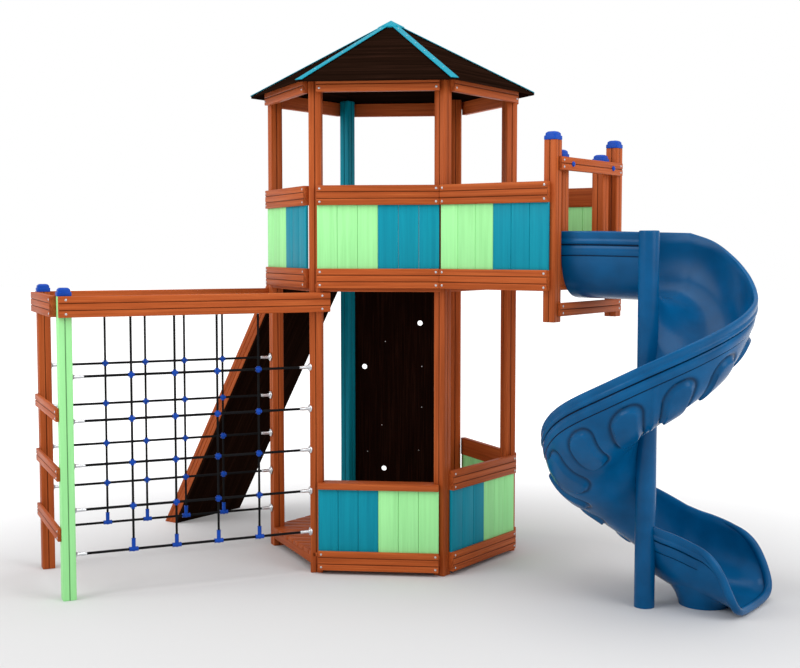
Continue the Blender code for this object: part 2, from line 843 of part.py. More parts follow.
upper_stations, lower_stations = trough_stations()
trough_upper = new_object(
    "slide_trough_upper", trough_form(upper_stations), slide_plastic, turn=side_turn(330)
)
trough_lower = new_object(
    "slide_trough_lower", trough_form(lower_stations), slide_plastic, turn=side_turn(330)
)


def slide_foot_form():
    """The slide's foot: round on the ground, flared, and fitted up under the trough."""
    form = bmesh.new()
    past_values = [section[0] for section in exit_sections]

    def inside_wall(x, past):
        """The height of the middle of the trough's wall at that place."""
        rim, under, half_width, squareness = (
            float(np.interp(past, past_values, [section[n] for section in exit_sections]))
            for n in (1, 2, 3, 4)
        )
        depth = rim - under
        rise = 1 - (abs(x) / half_width) ** squareness
        return rim - depth * rise ** (1 / squareness) + trough_wall / 2

    loops = []
    for radius, up in (
        (foot_radius, 0), (foot_radius + 0.3 * foot_flare, 0.5), (foot_radius + foot_flare, 1),
        (0.6 * foot_radius, 1), (0.25 * foot_radius, 1),
    ):
        loop = []
        for k in range(24):
            angle = 2 * math.pi * k / 24
            x = foot_lateral + radius * math.cos(angle)
            past = foot_along + radius * math.sin(angle)
            loop.append(form.verts.new((x, -slide_pole_along - past, up * inside_wall(x, past))))
        loops.append(loop)
    for lower, upper in zip(loops, loops[1:]):
        for k in range(24):
            following = (k + 1) % 24
            form.faces.new((lower[k], lower[following], upper[following], upper[k]))
    form.faces.new(loops[0])
    form.faces.new(loops[-1])
    bmesh.ops.triangulate(form, faces=form.faces)
    return form


def slide_pole_form(radius, low, high):
    ring = []
    for k in range(32):
        angle = 2 * math.pi * (k + 0.17) / 32
        ring.append((
            slide_pole_lateral + radius * math.cos(angle), -slide_pole_along + radius * math.sin(angle)
        ))
    return prism(ring, "z", low, high)


joined(trough_lower, [new_object("slide_foot", slide_foot_form(), slide_plastic, turn=side_turn(330))])
for trough in (trough_upper, trough_lower):
    room = slide_pole_form(slide_pole_radius + gap, -0.1, slide_pole_top + 0.1)
    cut(trough, new_object(trough.name + "_pole_room", room, slide_plastic, turn=side_turn(330)))
new_object(
    "slide_pole", slide_pole_form(slide_pole_radius, 0, slide_pole_top), slide_plastic,
    turn=side_turn(330),
)

for piece in bpy.data.objects:
    if piece.type == "MESH" and piece.name in ("slide_trough_upper", "slide_trough_lower", "slide_pole"):
        piece.data.shade_smooth()
        piece.data.set_sharp_from_angle(angle=math.radians(40))
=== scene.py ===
# Wooden play structure: boards, stain, paint, ropes, fixings and the moulded slide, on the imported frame.
# Run it in Blender 4.5. Everything is in metres, with the ground at z = 0.

import math

import bpy
import numpy as np
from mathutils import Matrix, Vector


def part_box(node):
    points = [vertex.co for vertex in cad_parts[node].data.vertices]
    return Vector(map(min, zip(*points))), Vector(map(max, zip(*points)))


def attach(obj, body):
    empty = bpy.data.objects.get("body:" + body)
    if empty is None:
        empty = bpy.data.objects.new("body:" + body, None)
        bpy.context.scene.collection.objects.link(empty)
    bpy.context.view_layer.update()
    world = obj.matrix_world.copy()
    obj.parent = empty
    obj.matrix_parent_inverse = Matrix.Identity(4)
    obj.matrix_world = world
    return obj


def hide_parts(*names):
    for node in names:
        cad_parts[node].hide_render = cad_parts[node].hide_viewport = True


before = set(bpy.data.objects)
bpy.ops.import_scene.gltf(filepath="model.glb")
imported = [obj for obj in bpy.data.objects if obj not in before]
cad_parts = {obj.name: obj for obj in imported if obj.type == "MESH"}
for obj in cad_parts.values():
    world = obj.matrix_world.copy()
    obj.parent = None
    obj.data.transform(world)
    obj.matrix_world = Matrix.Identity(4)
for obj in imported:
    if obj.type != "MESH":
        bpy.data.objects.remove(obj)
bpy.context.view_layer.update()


# Where the tower stands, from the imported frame: its two side posts are a hexagon's width apart.
def middleOf(node):
    low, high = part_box(node)
    return np.array((low + high) / 2)


leftPost, rightPost = middleOf("post_left"), middleOf("post_right")
towerCentre = (leftPost + rightPost)[:2] / 2
side = (rightPost - leftPost)[0] / 2
apothem = side * math.sqrt(3) / 2
halfSide = side / 2
print("frame loaded: tower sides", round(side, 3), "m")


# Shapes. Each is a dictionary of points, faces and the wood's own coordinates ("grain"), and of how deep
# each point lies in a groove ("hollow") where a shape has grooves.
grainDice = np.random.default_rng(11)


def gridFaces(rows, columns, closedRows=False):
    # the four corners of every cell of a grid of points, as index numbers; its columns close on themselves
    r, c = np.meshgrid(np.arange(rows if closedRows else rows - 1), np.arange(columns), indexing="ij")
    rNext, cNext = (r + 1) % rows, (c + 1) % columns
    cells = (r * columns + c, r * columns + cNext, rNext * columns + cNext, rNext * columns + c)
    return np.stack(cells, -1).reshape(-1, 4)


def shape(points, quads, caps=(), grain=None):
    # a closed shell: its volume says whether the faces look outwards, and turns them if they don't
    points = np.asarray(points, float)
    volume = 0.0
    for a, b, c in ((0, 1, 2), (0, 2, 3)):
        first, second, third = points[quads[:, a]], points[quads[:, b]], points[quads[:, c]]
        volume += np.einsum("ij,ij->", first, np.cross(second, third))
    for cap in caps:
        ring = points[np.asarray(cap)]
        volume += np.einsum("j,ij->", ring[0], np.cross(ring[1:-1], ring[2:]))
    faces = quads.tolist() + [list(cap) for cap in caps]
    if volume < 0:
        faces = [face[::-1] for face in faces]
    if grain is None:
        grain = points
    return {"points": points, "faces": faces, "grain": np.asarray(grain, float)}


def shell(rings, grain=None):
    # a closed shape from rings of points, with a cap over the first ring and the last
    rows, columns = rings.shape[:2]
    ring = np.arange(columns)
    return shape(rings.reshape(-1, 3), gridFaces(rows, columns), (ring, ring + (rows - 1) * columns), grain)


def turned(made, azimuth):
    # a shape drawn for the front wall, turned about the tower to the side that faces azimuth
    turn = math.radians(azimuth - 270)
    c, s = math.cos(turn), math.sin(turn)
    x, y, z = made["points"].T
    placed = np.stack((c * x - s * y + towerCentre[0], s * x + c * y + towerCentre[1], z), -1)
    return {**made, "points": placed}


def moved(made, offset):
    return {**made, "points": made["points"] + np.asarray(offset, float)}


def spun(made, turn):
    # turned about its own upright axis
    c, s = math.cos(turn), math.sin(turn)
    x, y, z = made["points"].T
    return {**made, "points": np.stack((c * x - s * y, s * x + c * y, z), -1)}


def roundedCorners(corners, cuts, steps=4):
    # each corner becomes a short curve: it starts and ends a cut away from the corner, and the
    # curve's point at t is (1-t)^2 times its start, 2t(1-t) times the corner and t^2 times its end
    corners = np.asarray(corners, float)
    cuts = np.broadcast_to(np.asarray(cuts, float), len(corners))[:, None]
    before, after = np.roll(corners, 1, 0) - corners, np.roll(corners, -1, 0) - corners
    start = corners + cuts * before / np.linalg.norm(before, axis=1, keepdims=True)
    end = corners + cuts * after / np.linalg.norm(after, axis=1, keepdims=True)
    t = np.linspace(0, 1, steps)[None, :, None]
    curve = (1 - t) ** 2 * start[:, None] + 2 * t * (1 - t) * corners[:, None] + t ** 2 * end[:, None]
    return curve.reshape(-1, 2)


def easedRings(outline, ease):
    # a bar's six outlines, three at each end: the outer ones are drawn in, so that the edges are round
    outline = np.asarray(outline, float)
    draw = np.array([1, 0.3, 0, 0, 0.3, 1])[:, None, None] * ease
    middle = (outline.min(0) + outline.max(0)) / 2
    half = (outline.max(0) - outline.min(0)) / 2
    return middle + (outline - middle) * (1 - draw / half)


def bar(outline, start, end, along="x", ease=0.003, grainAlong=None):
    # the outline carried from start to end, its ends eased; the outline's two numbers are the other
    # two axes, in the order x, y, z
    distance = np.array([start, start + 0.3 * ease, start + ease, end - ease, end - 0.3 * ease, end])
    rings = easedRings(outline, ease)
    points = np.insert(rings.reshape(-1, 2), "xyz".index(along), np.repeat(distance, len(outline)), axis=1)
    grain = np.roll(points, -"xyz".index(grainAlong or along), axis=1) + grainDice.uniform(0, 60, 3)
    return shell(points.reshape(6, -1, 3), grain)


def turnedShape(profile, segments=16):
    # a profile of (radius, height) pairs turned round the z axis; it starts and ends on the axis
    profile = np.asarray(profile, float)
    angle = np.linspace(0, 2 * np.pi, segments, endpoint=False)
    radius, height = profile[1:-1, 0][:, None], profile[1:-1, 1][:, None]
    rings = np.stack(
        (radius * np.cos(angle), radius * np.sin(angle), np.broadcast_to(height, (len(radius), segments))), -1
    )
    points = rings.reshape(-1, 3)
    rows = len(profile) - 2
    ends = np.array([[0, 0, profile[0, 1]], [0, 0, profile[-1, 1]]])
    points = np.concatenate((points, ends))
    first, last = len(points) - 2, len(points) - 1
    k = np.arange(segments)
    following = (k + 1) % segments
    top = (rows - 1) * segments
    fans = [(first, b, a) for a, b in zip(k.tolist(), following.tolist())]
    fans += [(last, top + a, top + b) for a, b in zip(k.tolist(), following.tolist())]
    return shape(points, gridFaces(rows, segments), fans)


def facing(made, direction):
    # a shape drawn up the z axis, laid so that its axis points along direction
    turn = Vector((0, 0, 1)).rotation_difference(Vector(direction)).to_matrix()
    return {**made, "points": made["points"] @ np.array(turn).T}


def intoScene(name, data):
    made = bpy.data.objects.new(name, data)
    bpy.context.scene.collection.objects.link(made)
    return made


def piece(name, shapes, finish, nodes=(), azimuth=None, sharpFrom=35):
    # one object made of several shapes, riding on the part and standing for its CAD nodes; shapes that
    # were drawn for the front wall are first turned to the side that faces azimuth
    look, slotName = finish
    if azimuth is not None:
        shapes = [turned(made, azimuth) for made in shapes]
    starts = np.cumsum([0] + [len(made["points"]) for made in shapes]).tolist()
    faces = [[k + start for k in face] for made, start in zip(shapes, starts) for face in made["faces"]]
    mesh = bpy.data.meshes.new(name)
    mesh.from_pydata(np.concatenate([made["points"] for made in shapes]).tolist(), [], faces)
    grain = mesh.attributes.new("grain", "FLOAT_VECTOR", "POINT")
    grain.data.foreach_set("vector", np.concatenate([made["grain"] for made in shapes]).ravel())
    if any("hollow" in made for made in shapes):
        hollow = mesh.attributes.new("hollow", "FLOAT", "POINT")
        hollow.data.foreach_set("value", np.concatenate(
            [made.get("hollow", np.zeros(len(made["points"]))) for made in shapes]
        ))
    mesh.materials.append(look)
    mesh.shade_smooth()
    mesh.set_sharp_from_angle(angle=math.radians(sharpFrom))
    made = intoScene(name, mesh)
    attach(made, "root")
    if nodes:
        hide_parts(*nodes)
    return made


# Materials.
def fromHex(code):
    # an sRGB hex colour as the linear values that the shaders work in
    channels = np.array([int(code[k:k + 2], 16) for k in (1, 3, 5)]) / 255
    linear = np.where(channels <= 0.04045, channels / 12.92, ((channels + 0.055) / 1.055) ** 2.4)
    return (*linear.tolist(), 1.0)


def addNode(look, kind, inputs=None, **settings):
    # adds a node with its settings; an input is a value, or another node's output to link to
    node = look.node_tree.nodes.new(kind)
    for name, value in settings.items():
        setattr(node, name, value)
    for name, value in (inputs or {}).items():
        if isinstance(value, bpy.types.NodeSocket):
            look.node_tree.links.new(value, node.inputs[name])
        else:
            node.inputs[name].default_value = value
    return node


def newLook(name, **settings):
    look = bpy.data.materials.new(name)
    look.use_nodes = True
    look.node_tree.nodes.clear()
    shader = addNode(look, "ShaderNodeBsdfPrincipled", settings)
    addNode(look, "ShaderNodeOutputMaterial", {"Surface": shader.outputs["BSDF"]})
    return look, shader


def colourBand(look, factor, stops):
    band = addNode(look, "ShaderNodeValToRGB", {"Fac": factor})
    for k, (place, code) in enumerate(stops):
        element = band.color_ramp.elements[k] if k < 2 else band.color_ramp.elements.new(place)
        element.position = place
        element.color = fromHex(code)
    return band.outputs["Color"]


def times(look, first, second):
    return addNode(look, "ShaderNodeVectorMath", {0: first, 1: second}, operation="MULTIPLY").outputs[0]


def noise(look, place, sizesMm, detail=2.0, distortion=0.0):
    # noise whose spots are about this many millimetres long on each axis
    return addNode(look, "ShaderNodeTexNoise", {
        "Vector": times(look, place, [1000 / size for size in sizesMm]),
        "Scale": 1.0, "Detail": detail, "Distortion": distortion,
    }).outputs["Fac"]


def grainNoise(look, alongMm, acrossMm, detail, distortion=0.0):
    # noise drawn out along the wood: a streak is about alongMm long and acrossMm wide
    place = addNode(look, "ShaderNodeAttribute", attribute_name="grain").outputs["Vector"]
    return noise(look, place, (alongMm, acrossMm, acrossMm), detail, distortion)


def objectPlace(look):
    return addNode(look, "ShaderNodeTexCoord").outputs["Object"]


def hollowHere(look):
    return addNode(look, "ShaderNodeAttribute", attribute_name="hollow").outputs["Fac"]


def mixed(look, factor, first, second):
    # sockets 6 and 7 are the node's two colours, and output 2 its mixed colour
    return addNode(look, "ShaderNodeMix", {0: factor, 6: first, 7: second}, data_type="RGBA").outputs[2]


def remapped(look, value, low, high, fromLow=0.25, fromHigh=0.75):
    node = addNode(look, "ShaderNodeMapRange", {
        "Value": value, "From Min": fromLow, "From Max": fromHigh, "To Min": low, "To Max": high,
    })
    return node.outputs["Result"]


def finished(look, shader, colour, height, bumpMm, strength):
    # the colour and a fine relief, joined to the shader
    bump = addNode(look, "ShaderNodeBump", {
        "Height": height, "Distance": bumpMm / 1000, "Strength": strength,
    })
    look.node_tree.links.new(colour, shader.inputs["Base Color"])
    look.node_tree.links.new(bump.outputs["Normal"], shader.inputs["Normal"])
    return look


# the grain's sizes in millimetres, and how much of its colour a groove keeps under painted shade and thicker
# stain
woodGrain = {
    "streakLong": 420,
    "ringLong": 1400,
    "ringPerStreak": 3.2,
    "toneLong": 12000,
    "toneWide": 9000,
    "poreLong": 60,
    "poreWide": 1.6,
    "grooveShadeAndStainKeeps": 0.22,
}


def woodLook(name, stops, streakMm, boardTone, roughness, bumpMm, gloss):
    # planed softwood under a stain or paint: streaks of grain run along each board, every board
    # has a tone of its own, and the fine pores show as a slight relief
    look, shader = newLook(name, **{"Roughness": roughness, "Specular IOR Level": gloss})
    size = woodGrain
    streaks = grainNoise(look, size["streakLong"], streakMm, 5.0, 0.6)
    rings = grainNoise(look, size["ringLong"], size["ringPerStreak"] * streakMm, 2.0, 0.4)
    both = addNode(look, "ShaderNodeMath", {0: streaks, 1: rings}, operation="ADD").outputs[0]
    colour = colourBand(look, remapped(look, both, 0.0, 1.0, 0.72, 1.28), stops)
    boards = grainNoise(look, size["toneLong"], size["toneWide"], 0.0)
    tone = remapped(look, boards, 1 - boardTone, 1 + boardTone, 0.3, 0.7)
    # painted shade and stain: a groove is darkened because less light gets out of it, and because the stain
    # lies thicker in it
    grooveShadeAndStain = remapped(look, hollowHere(look), 1.0, size["grooveShadeAndStainKeeps"], 0.0, 1.0)
    pores = grainNoise(look, size["poreLong"], size["poreWide"], 3.0)
    relief = addNode(look, "ShaderNodeMath", {0: pores, 1: streaks}, operation="ADD").outputs[0]
    return finished(look, shader, times(look, times(look, colour, tone), grooveShadeAndStain), relief, bumpMm, 0.6)


def plasticLook(name, code, paleCode, roughness, peelMm, bumpMm, gloss, grooveShadeCode=None):
    # moulded plastic: one colour with a faint cloudiness, and the slight orange peel of the mould;
    # where a piece says that it is hollow, as in a groove, painted shade makes the colour deeper
    look, shader = newLook(name, **{"Roughness": roughness, "Specular IOR Level": gloss})
    clouds = noise(look, objectPlace(look), (250,) * 3, 3.0)
    peel = noise(look, objectPlace(look), (peelMm,) * 3)
    colour = mixed(look, remapped(look, clouds, 0.0, 1.0, 0.35, 0.65), fromHex(code), fromHex(paleCode))
    if grooveShadeCode:
        colour = mixed(look, hollowHere(look), colour, fromHex(grooveShadeCode))
    return finished(look, shader, colour, peel, bumpMm, 0.5)


def metalLook(name, code, roughness, scratchMm):
    # bare metal, plated or turned: fine scratches break up its reflections
    look, shader = newLook(name, **{"Base Color": fromHex(code), "Metallic": 1.0})
    scratches = noise(look, objectPlace(look), (scratchMm,) * 3)
    rough = remapped(look, scratches, roughness - 0.06, roughness + 0.1, 0.3, 0.7)
    look.node_tree.links.new(rough, shader.inputs["Roughness"])
    return look


def ropeLook():
    # polypropylene rope laid over steel wire: black yarn that scatters a little light
    look, shader = newLook("blackPolypropyleneRope", **{"Roughness": 0.8, "Specular IOR Level": 0.15})
    yarn = noise(look, objectPlace(look), (1.5,) * 3)
    colour = mixed(look, remapped(look, yarn, 0.0, 1.0), fromHex("#070708"), fromHex("#151518"))
    return finished(look, shader, colour, yarn, 0.4, 0.7)


# What pieces are made of: a material, and the part's own material that it stands for, which is not used.
# Stained and painted timber is satin; the film on the ply is nearly black and only shines at a glance.
stainedPine = (woodLook(
    "terracottaStainedPine", ((0.0, "#984619"), (0.5, "#AD5122"), (1.0, "#BD602D")), 9, 0.07, 0.5, 0.35, 0.14
), "terracotta_wood")
tealPine = (woodLook(
    "tealPaintedPine", ((0.0, "#00849B"), (1.0, "#0592A8")), 14, 0.04, 0.5, 0.15, 0.14
), "teal_wood")
mintPine = (woodLook(
    "mintPaintedPine", ((0.0, "#9DEA99"), (1.0, "#AAF6A6")), 14, 0.04, 0.5, 0.15, 0.15
), "mint_wood")
filmPly = (woodLook(
    "brownFilmFacedPly", ((0.0, "#140A06"), (0.6, "#1D100A"), (1.0, "#291811")), 11, 0.05, 0.55, 0.12, 0.0
), "dark_ply")
capPlastic = (plasticLook(
    "royalBluePolypropylene", "#0F42A2", "#154AB0", 0.38, 1.5, 0.05, 0.12
), "blue_plastic")
# the slide's last colour is painted shade, deep in its grooves
slidePlastic = (plasticLook(
    "blueRotomouldedPolyethylene", "#004A79", "#00578B", 0.26, 5.0, 0.10, 0.16, "#001C36"
), "blue_plastic")
blackRope = (ropeLook(), "black_rope")
plateZinc = metalLook("zincPlatedSteel", "#C9CCD0", 0.32, 1.2)
zincBolts = (plateZinc, "terracotta_wood")
turnedAluminium = (metalLook("turnedAluminium", "#D5D7DA", 0.28, 0.8), "blue_plastic")
print("materials made")

# Sizes that several pieces share.
timber = {
    "post": 0.09,
    "postCorner": 0.008,
    "grooveHalf": 0.005,
    "grooveDeep": 0.006,
    "grooveCuts": (0.002, 0.0015, 0.002),
    "railHeight": 0.14,
    "railThick": 0.045,
    "railEase": 0.006,
    "thinRail": 0.024,
    "boltInset": 0.0225,
    "gap": 0.0003,
}
halfPost = timber["post"] / 2
railInner = halfPost + timber["gap"]
railOuter = railInner + timber["railThick"]


def grooved(made, depth, inGroove):
    # marks how deep each point lies in a groove, from 0 on the face to 1 at the groove's bottom
    return {**made, "hollow": np.where(inGroove, np.clip(depth / timber["grooveDeep"], 0, 1), 0)}


def postOutline():
    # a square with round corners and a V groove down each face
    h, g, d = halfPost, timber["grooveHalf"], timber["grooveDeep"]
    edge = np.array([(-h, -h), (-g, -h), (0, -h + d), (g, -h)])
    quarter = [np.stack((edge[:, 0] * c - edge[:, 1] * s, edge[:, 0] * s + edge[:, 1] * c), -1)
               for c, s in ((1, 0), (0, 1), (-1, 0), (0, -1))]
    return roundedCorners(np.concatenate(quarter), np.tile([timber["postCorner"], *timber["grooveCuts"]], 4))


def plankOutline(outer, inner, foot, top, bands):
    # a plank's end as (y, z), its face towards -y: round edges, and V grooves between its bands
    g, d, ease = timber["grooveHalf"], timber["grooveDeep"], timber["railEase"]
    levels = foot + (top - foot) * np.arange(1, bands) / bands
    grooves = [(-outer + deep, level + up) for level in levels for deep, up in ((0, -g), (d, 0), (0, g))]
    corners = [(-inner, foot), (-outer, foot), *grooves, (-outer, top), (-inner, top)]
    return roundedCorners(corners, [0.5 * ease, ease, *timber["grooveCuts"] * (bands - 1), ease, 0.5 * ease])


def plank(reach, start, end, foot, top, bands=3, thick=timber["railThick"]):
    outer = railInner + thick
    made = bar(plankOutline(outer, railInner, foot, top, bands) - np.array([reach, 0]), start, end)
    depth = made["points"][:, 1] + reach + outer
    z = made["points"][:, 2]
    return grooved(made, depth, (depth < 1.05 * timber["grooveDeep"]) & (z > foot + 0.01) & (z < top - 0.01))


# Fixings: domed bolts, and small countersunk screws.
fixing = {
    "boltRadius": 0.0058,
    "boltDome": 0.0035,
    "washerRadius": 0.0080,
    "washerThick": 0.0014,
    "screwRadius": 0.0045,
}


def boltShape():
    r, w = fixing["boltRadius"], fixing["washerRadius"]
    t, dome = fixing["washerThick"], fixing["boltDome"]
    rise = np.linspace(0, np.pi / 2, 5)
    head = np.stack((r * np.cos(rise), t + dome * np.sin(rise)), -1)
    return turnedShape(np.concatenate(([(0, -0.001), (w, -0.001), (w, 0.7 * t), (0.9 * w, t)], head)), 20)


def screwShape():
    r = fixing["screwRadius"]
    profile = [(0, -0.002), (r, -0.002), (r, 0.0008), (0.7 * r, 0.0018), (0.3 * r, 0.0018), (0, 0.0006)]
    return turnedShape(profile, 12)


boltHead, screwHead = boltShape(), screwShape()


def boltsOn(face, alongs, levels, made=boltHead):
    # bolts on a face that looks towards -y at y = -face, at each of the levels of each place along it
    laid = facing(made, (0, -1, 0))
    return [moved(laid, (x, -face, z)) for x in alongs for z in levels]


def boltedPlank(node, azimuth, reach, ends, bands, boltAlongs, boltUps, thick=timber["railThick"]):
    # a plank for a node, and its bolts, whose levels are measured from its middle
    low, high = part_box(node)
    piece(node + "Plank", [plank(reach, *ends, low.z, high.z, bands, thick)], stainedPine, [node], azimuth)
    return boltsOn(reach + railInner + thick, boltAlongs, [(low.z + high.z) / 2 + up for up in boltUps])


# Posts and their caps.
postShape = postOutline()


def postAt(node, azimuth):
    low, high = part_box(node)
    made = bar(postShape, low.z, high.z, along="z", ease=0.004)
    across = np.abs(made["points"][:, :2])
    made = grooved(made, halfPost - across.max(1), across.min(1) < timber["grooveHalf"])
    return moved(spun(made, math.radians(azimuth - 270)), (*middleOf(node)[:2], 0))


# each post's faces look square out from one of the two sides that meet at it
towerPosts = {
    "left": 210, "front_left": 270, "front_right": 330, "right": 30, "back_right": 90, "back_left": 150,
}
for where, azimuth in towerPosts.items():
    node = "post_" + where
    finish = tealPine if where == "back_left" else stainedPine
    piece(node + "Turned", [postAt(node, azimuth)], finish, [node])

cap = {"half": 0.048, "skirt": 0.026, "step": 0.0035, "shoulder": 0.046, "height": 0.055, "columns": 40}


def signedPower(value, power):
    return np.sign(value) * np.abs(value) ** power


def superOutline(half, power, count):
    # a square with softened sides: |x|^p + |y|^p = half^p
    angle = np.linspace(0, 2 * np.pi, count, endpoint=False)
    return half * signedPower(np.stack((np.cos(angle), np.sin(angle)), -1), 2 / power)


def capShape():
    # a moulded cap: a straight skirt, a small step in, then a dome that flattens at the top
    h, inner = cap["half"], cap["half"] - cap["step"]
    skirt, shoulder, top = cap["skirt"], cap["shoulder"], cap["height"]
    rings = [(0.97 * h, 0.0), (h, 0.002), (h, skirt - 0.002), (0.985 * h, skirt),
             (inner - 0.002, skirt + 0.001), (inner - 0.003, skirt + 0.006), (0.86 * h, shoulder - 0.004),
             (0.79 * h, shoulder + 0.001), (0.66 * h, top - 0.003), (0.58 * h, top - 0.0008), (0.5 * h, top)]
    powers = np.linspace(9, 4.5, len(rings))
    return shell(np.array([
        np.column_stack((superOutline(half, power, cap["columns"]), np.full(cap["columns"], z)))
        for (half, z), power in zip(rings, powers)
    ]))


cappedPosts = {"slide_deck_post_front": 330, "slide_deck_post_back": 330, "doorway_jamb_front": 330,
               "doorway_jamb_back": 330, "net_post_front": 210, "net_post_back": 210}
for node, azimuth in cappedPosts.items():
    finish = mintPine if node == "net_post_front" else stainedPine
    piece(node + "Turned", [postAt(node, azimuth)], finish, [node])
    placed = spun(capShape(), math.radians(azimuth - 270))
    place = (*middleOf(node + "_cap")[:2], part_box(node + "_cap")[0].z)
    piece(node + "CapMoulded", [moved(placed, place)], capPlastic, [node + "_cap"])
print("posts and caps made")

# Walls: two rails with three bands each, and six boards let in between them.
wallLow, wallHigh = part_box("upper_wall_front")
wall = {
    "start": wallLow.x - towerCentre[0],
    "end": wallHigh.x - towerCentre[0],
    "height": wallHigh.z - wallLow.z,
    "boardBack": railInner + 0.006,
    "boardThick": 0.020,
    "boardJoint": 0.0015,
    "boardEase": 0.004,
    "bite": 0.010,
}
wallLength = wall["end"] - wall["start"]


def boardShape(reach, left, right, foot, top):
    # one board: a rectangle seen from above, its upright edges eased, so that two make a V joint
    back = -reach - wall["boardBack"]
    front = back - wall["boardThick"]
    corners = [(left, back), (left, front), (right, front), (right, back)]
    return bar(roundedCorners(corners, wall["boardEase"]), foot, top, along="z", ease=0.001)


def makeWall(node, azimuth, colours, reach=apothem, start=wall["start"], end=wall["end"], sill=False):
    low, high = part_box(node)
    foot, rail = low.z, timber["railHeight"]
    boardsTop = foot + wall["height"] - rail
    rails = [plank(reach, start, end, foot, foot + rail)]
    rails.append(sillShape(reach, start, end, boardsTop, high.z) if sill
                 else plank(reach, start, end, boardsTop, boardsTop + rail))
    bolts = []
    for level in (foot,) if sill else (foot, boardsTop):
        # two bolts at each end of a rail, in its lowest and its highest band
        bolts += boltsOn(reach + railOuter, (start + timber["boltInset"], end - timber["boltInset"]),
                         (level + rail / 6, level + rail * 5 / 6))
    width = (end - start) / len(colours)
    boards = {"mint": [], "teal": []}
    for k, colour in enumerate(colours):
        left = start + k * width + wall["boardJoint"] / 2
        boards[colour].append(boardShape(reach, left, left + width - wall["boardJoint"],
                                         foot + rail - wall["bite"], boardsTop + wall["bite"]))
    piece(node + "Rails", rails, stainedPine, [node], azimuth)
    piece(node + "MintBoards", boards["mint"], mintPine, [node], azimuth)
    piece(node + "TealBoards", boards["teal"], tealPine, [node], azimuth)
    piece(node + "Bolts", bolts, zincBolts, [node], azimuth)


sill = {"deep": 0.14, "ease": 0.003, "leftNotch": 0.001, "rightNotch": 0.062, "rightStep": 0.028}


def sillShape(reach, start, end, foot, top):
    # a plank laid flat, notched back between the posts
    front, inner = -reach - railOuter, -reach - railInner
    back = front + sill["deep"]
    left, right = -halfSide + halfPost + sill["leftNotch"], halfSide - sill["rightNotch"]
    corners = [(start, front), (end, front), (end, inner), (right, inner + sill["rightStep"]), (right, back),
               (left, back), (left, inner), (start, inner)]
    return bar(roundedCorners(corners, sill["ease"], 3), foot, top, along="z", ease=0.004, grainAlong="x")


mintFirst = ("mint",) * 3 + ("teal",) * 3
tealFirst = mintFirst[::-1]
makeWall("upper_wall_front", 270, mintFirst)
makeWall("upper_wall_left", 210, mintFirst)
makeWall("upper_wall_right", 30, mintFirst)
makeWall("lower_wall_front", 270, tealFirst, sill=True)
makeWall("lower_wall_slide_side", 330, tealFirst)
makeWall("lower_wall_right", 30, tealFirst)
# beside the slide deck: each is cut back where it meets a tower wall
wallTrim = 0.0125
deckWallStart = apothem + 0.018 + wallTrim
deckWallEnd = deckWallStart + wallLength - wallTrim
makeWall("slide_deck_wall_front", 240, mintFirst, halfSide, deckWallStart, deckWallEnd)
makeWall("slide_deck_wall_back", 60, mintFirst, halfSide, -deckWallEnd, -deckWallStart)
print("walls made")

# Eave beams and roof.
sideAzimuths = {"front": 270, "slide_side": 330, "right": 30, "back": 90, "ramp_side": 150, "left": 210}
eaveLow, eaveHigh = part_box("eave_beam_front")
eaveEnds = (wall["start"], wall["end"])
eaveBolts = (wall["start"] + timber["boltInset"], wall["end"] - timber["boltInset"])
lowBand = -0.25 * (eaveHigh.z - eaveLow.z)
for where, azimuth in sideAzimuths.items():
    node = "eave_beam_" + where
    bolts = boltedPlank(node, azimuth, apothem, eaveEnds, 2, eaveBolts, [lowBand])
    piece(node + "Bolts", bolts, zincBolts, (), azimuth)

roofLow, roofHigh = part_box("roof_sheet_front")
roof = {
    "apothem": towerCentre[1] - roofLow.y,
    "rise": 0.55,
    "apexZ": roofHigh.z,
    "sheet": 0.012,
    "sheetGap": 0.0002,
    "stripWidth": 0.06,
    "stripThick": 0.006,
    "stripLift": 0.0006,
    "hubApothem": 0.09,
    "screwStep": 0.155,
}
roof["slope"] = roof["rise"] / roof["apothem"]
roof["corner"] = roof["apothem"] * 2 / math.sqrt(3)
cos30 = math.cos(math.radians(30))


def roofZ(reach):
    return roof["apexZ"] - reach * roof["slope"]


def sheetShape():
    # a triangle that slopes from the apex to the eave, with its edges a little eased
    half = roof["corner"] / 2 - roof["sheetGap"]
    outline = roundedCorners([(0, -0.001), (-half, -roof["apothem"]), (half, -roof["apothem"])], 0.004)
    under = -roof["sheet"] * math.hypot(1, roof["slope"])
    made = bar(outline, under, 0.0, along="z", ease=0.0015, grainAlong="x")
    made["points"][:, 2] += roofZ(-made["points"][:, 1])
    return made


for where, azimuth in sideAzimuths.items():
    piece("roof_sheet_" + where + "Ply", [sheetShape()], filmPly, ["roof_sheet_" + where], azimuth)


def ridgeStrip(bearing):
    # a flat strip with a bevelled upper edge, carried down the ridge between two sheets
    half, thick = roof["stripWidth"] / 2, roof["stripThick"]
    corners = [(-half, 0), (half, 0), (half, thick), (-half, thick)]
    outline = roundedCorners(corners, (0.001, 0.001, 0.006, 0.006), 3)
    made = bar(outline, 0.03, roof["corner"], ease=0.001)
    made["points"][:, 2] += roofZ(made["points"][:, 0] * cos30) + roof["stripLift"]
    return spun(made, math.radians(bearing))


def hubShape():
    # six flat slopes that follow the roof, as a cap over the strips' ends
    radius = roof["hubApothem"] / cos30
    angle = np.radians(60 * np.arange(6))
    return shell(np.array([
        np.column_stack((share * radius * np.cos(angle), share * radius * np.sin(angle),
                         np.full(6, roofZ(share * roof["hubApothem"]) + lift)))
        for share, lift in ((0.02, 0.0025), (1, 0.0025), (1, 0.014), (0.94, 0.017), (0.02, 0.017))
    ]))


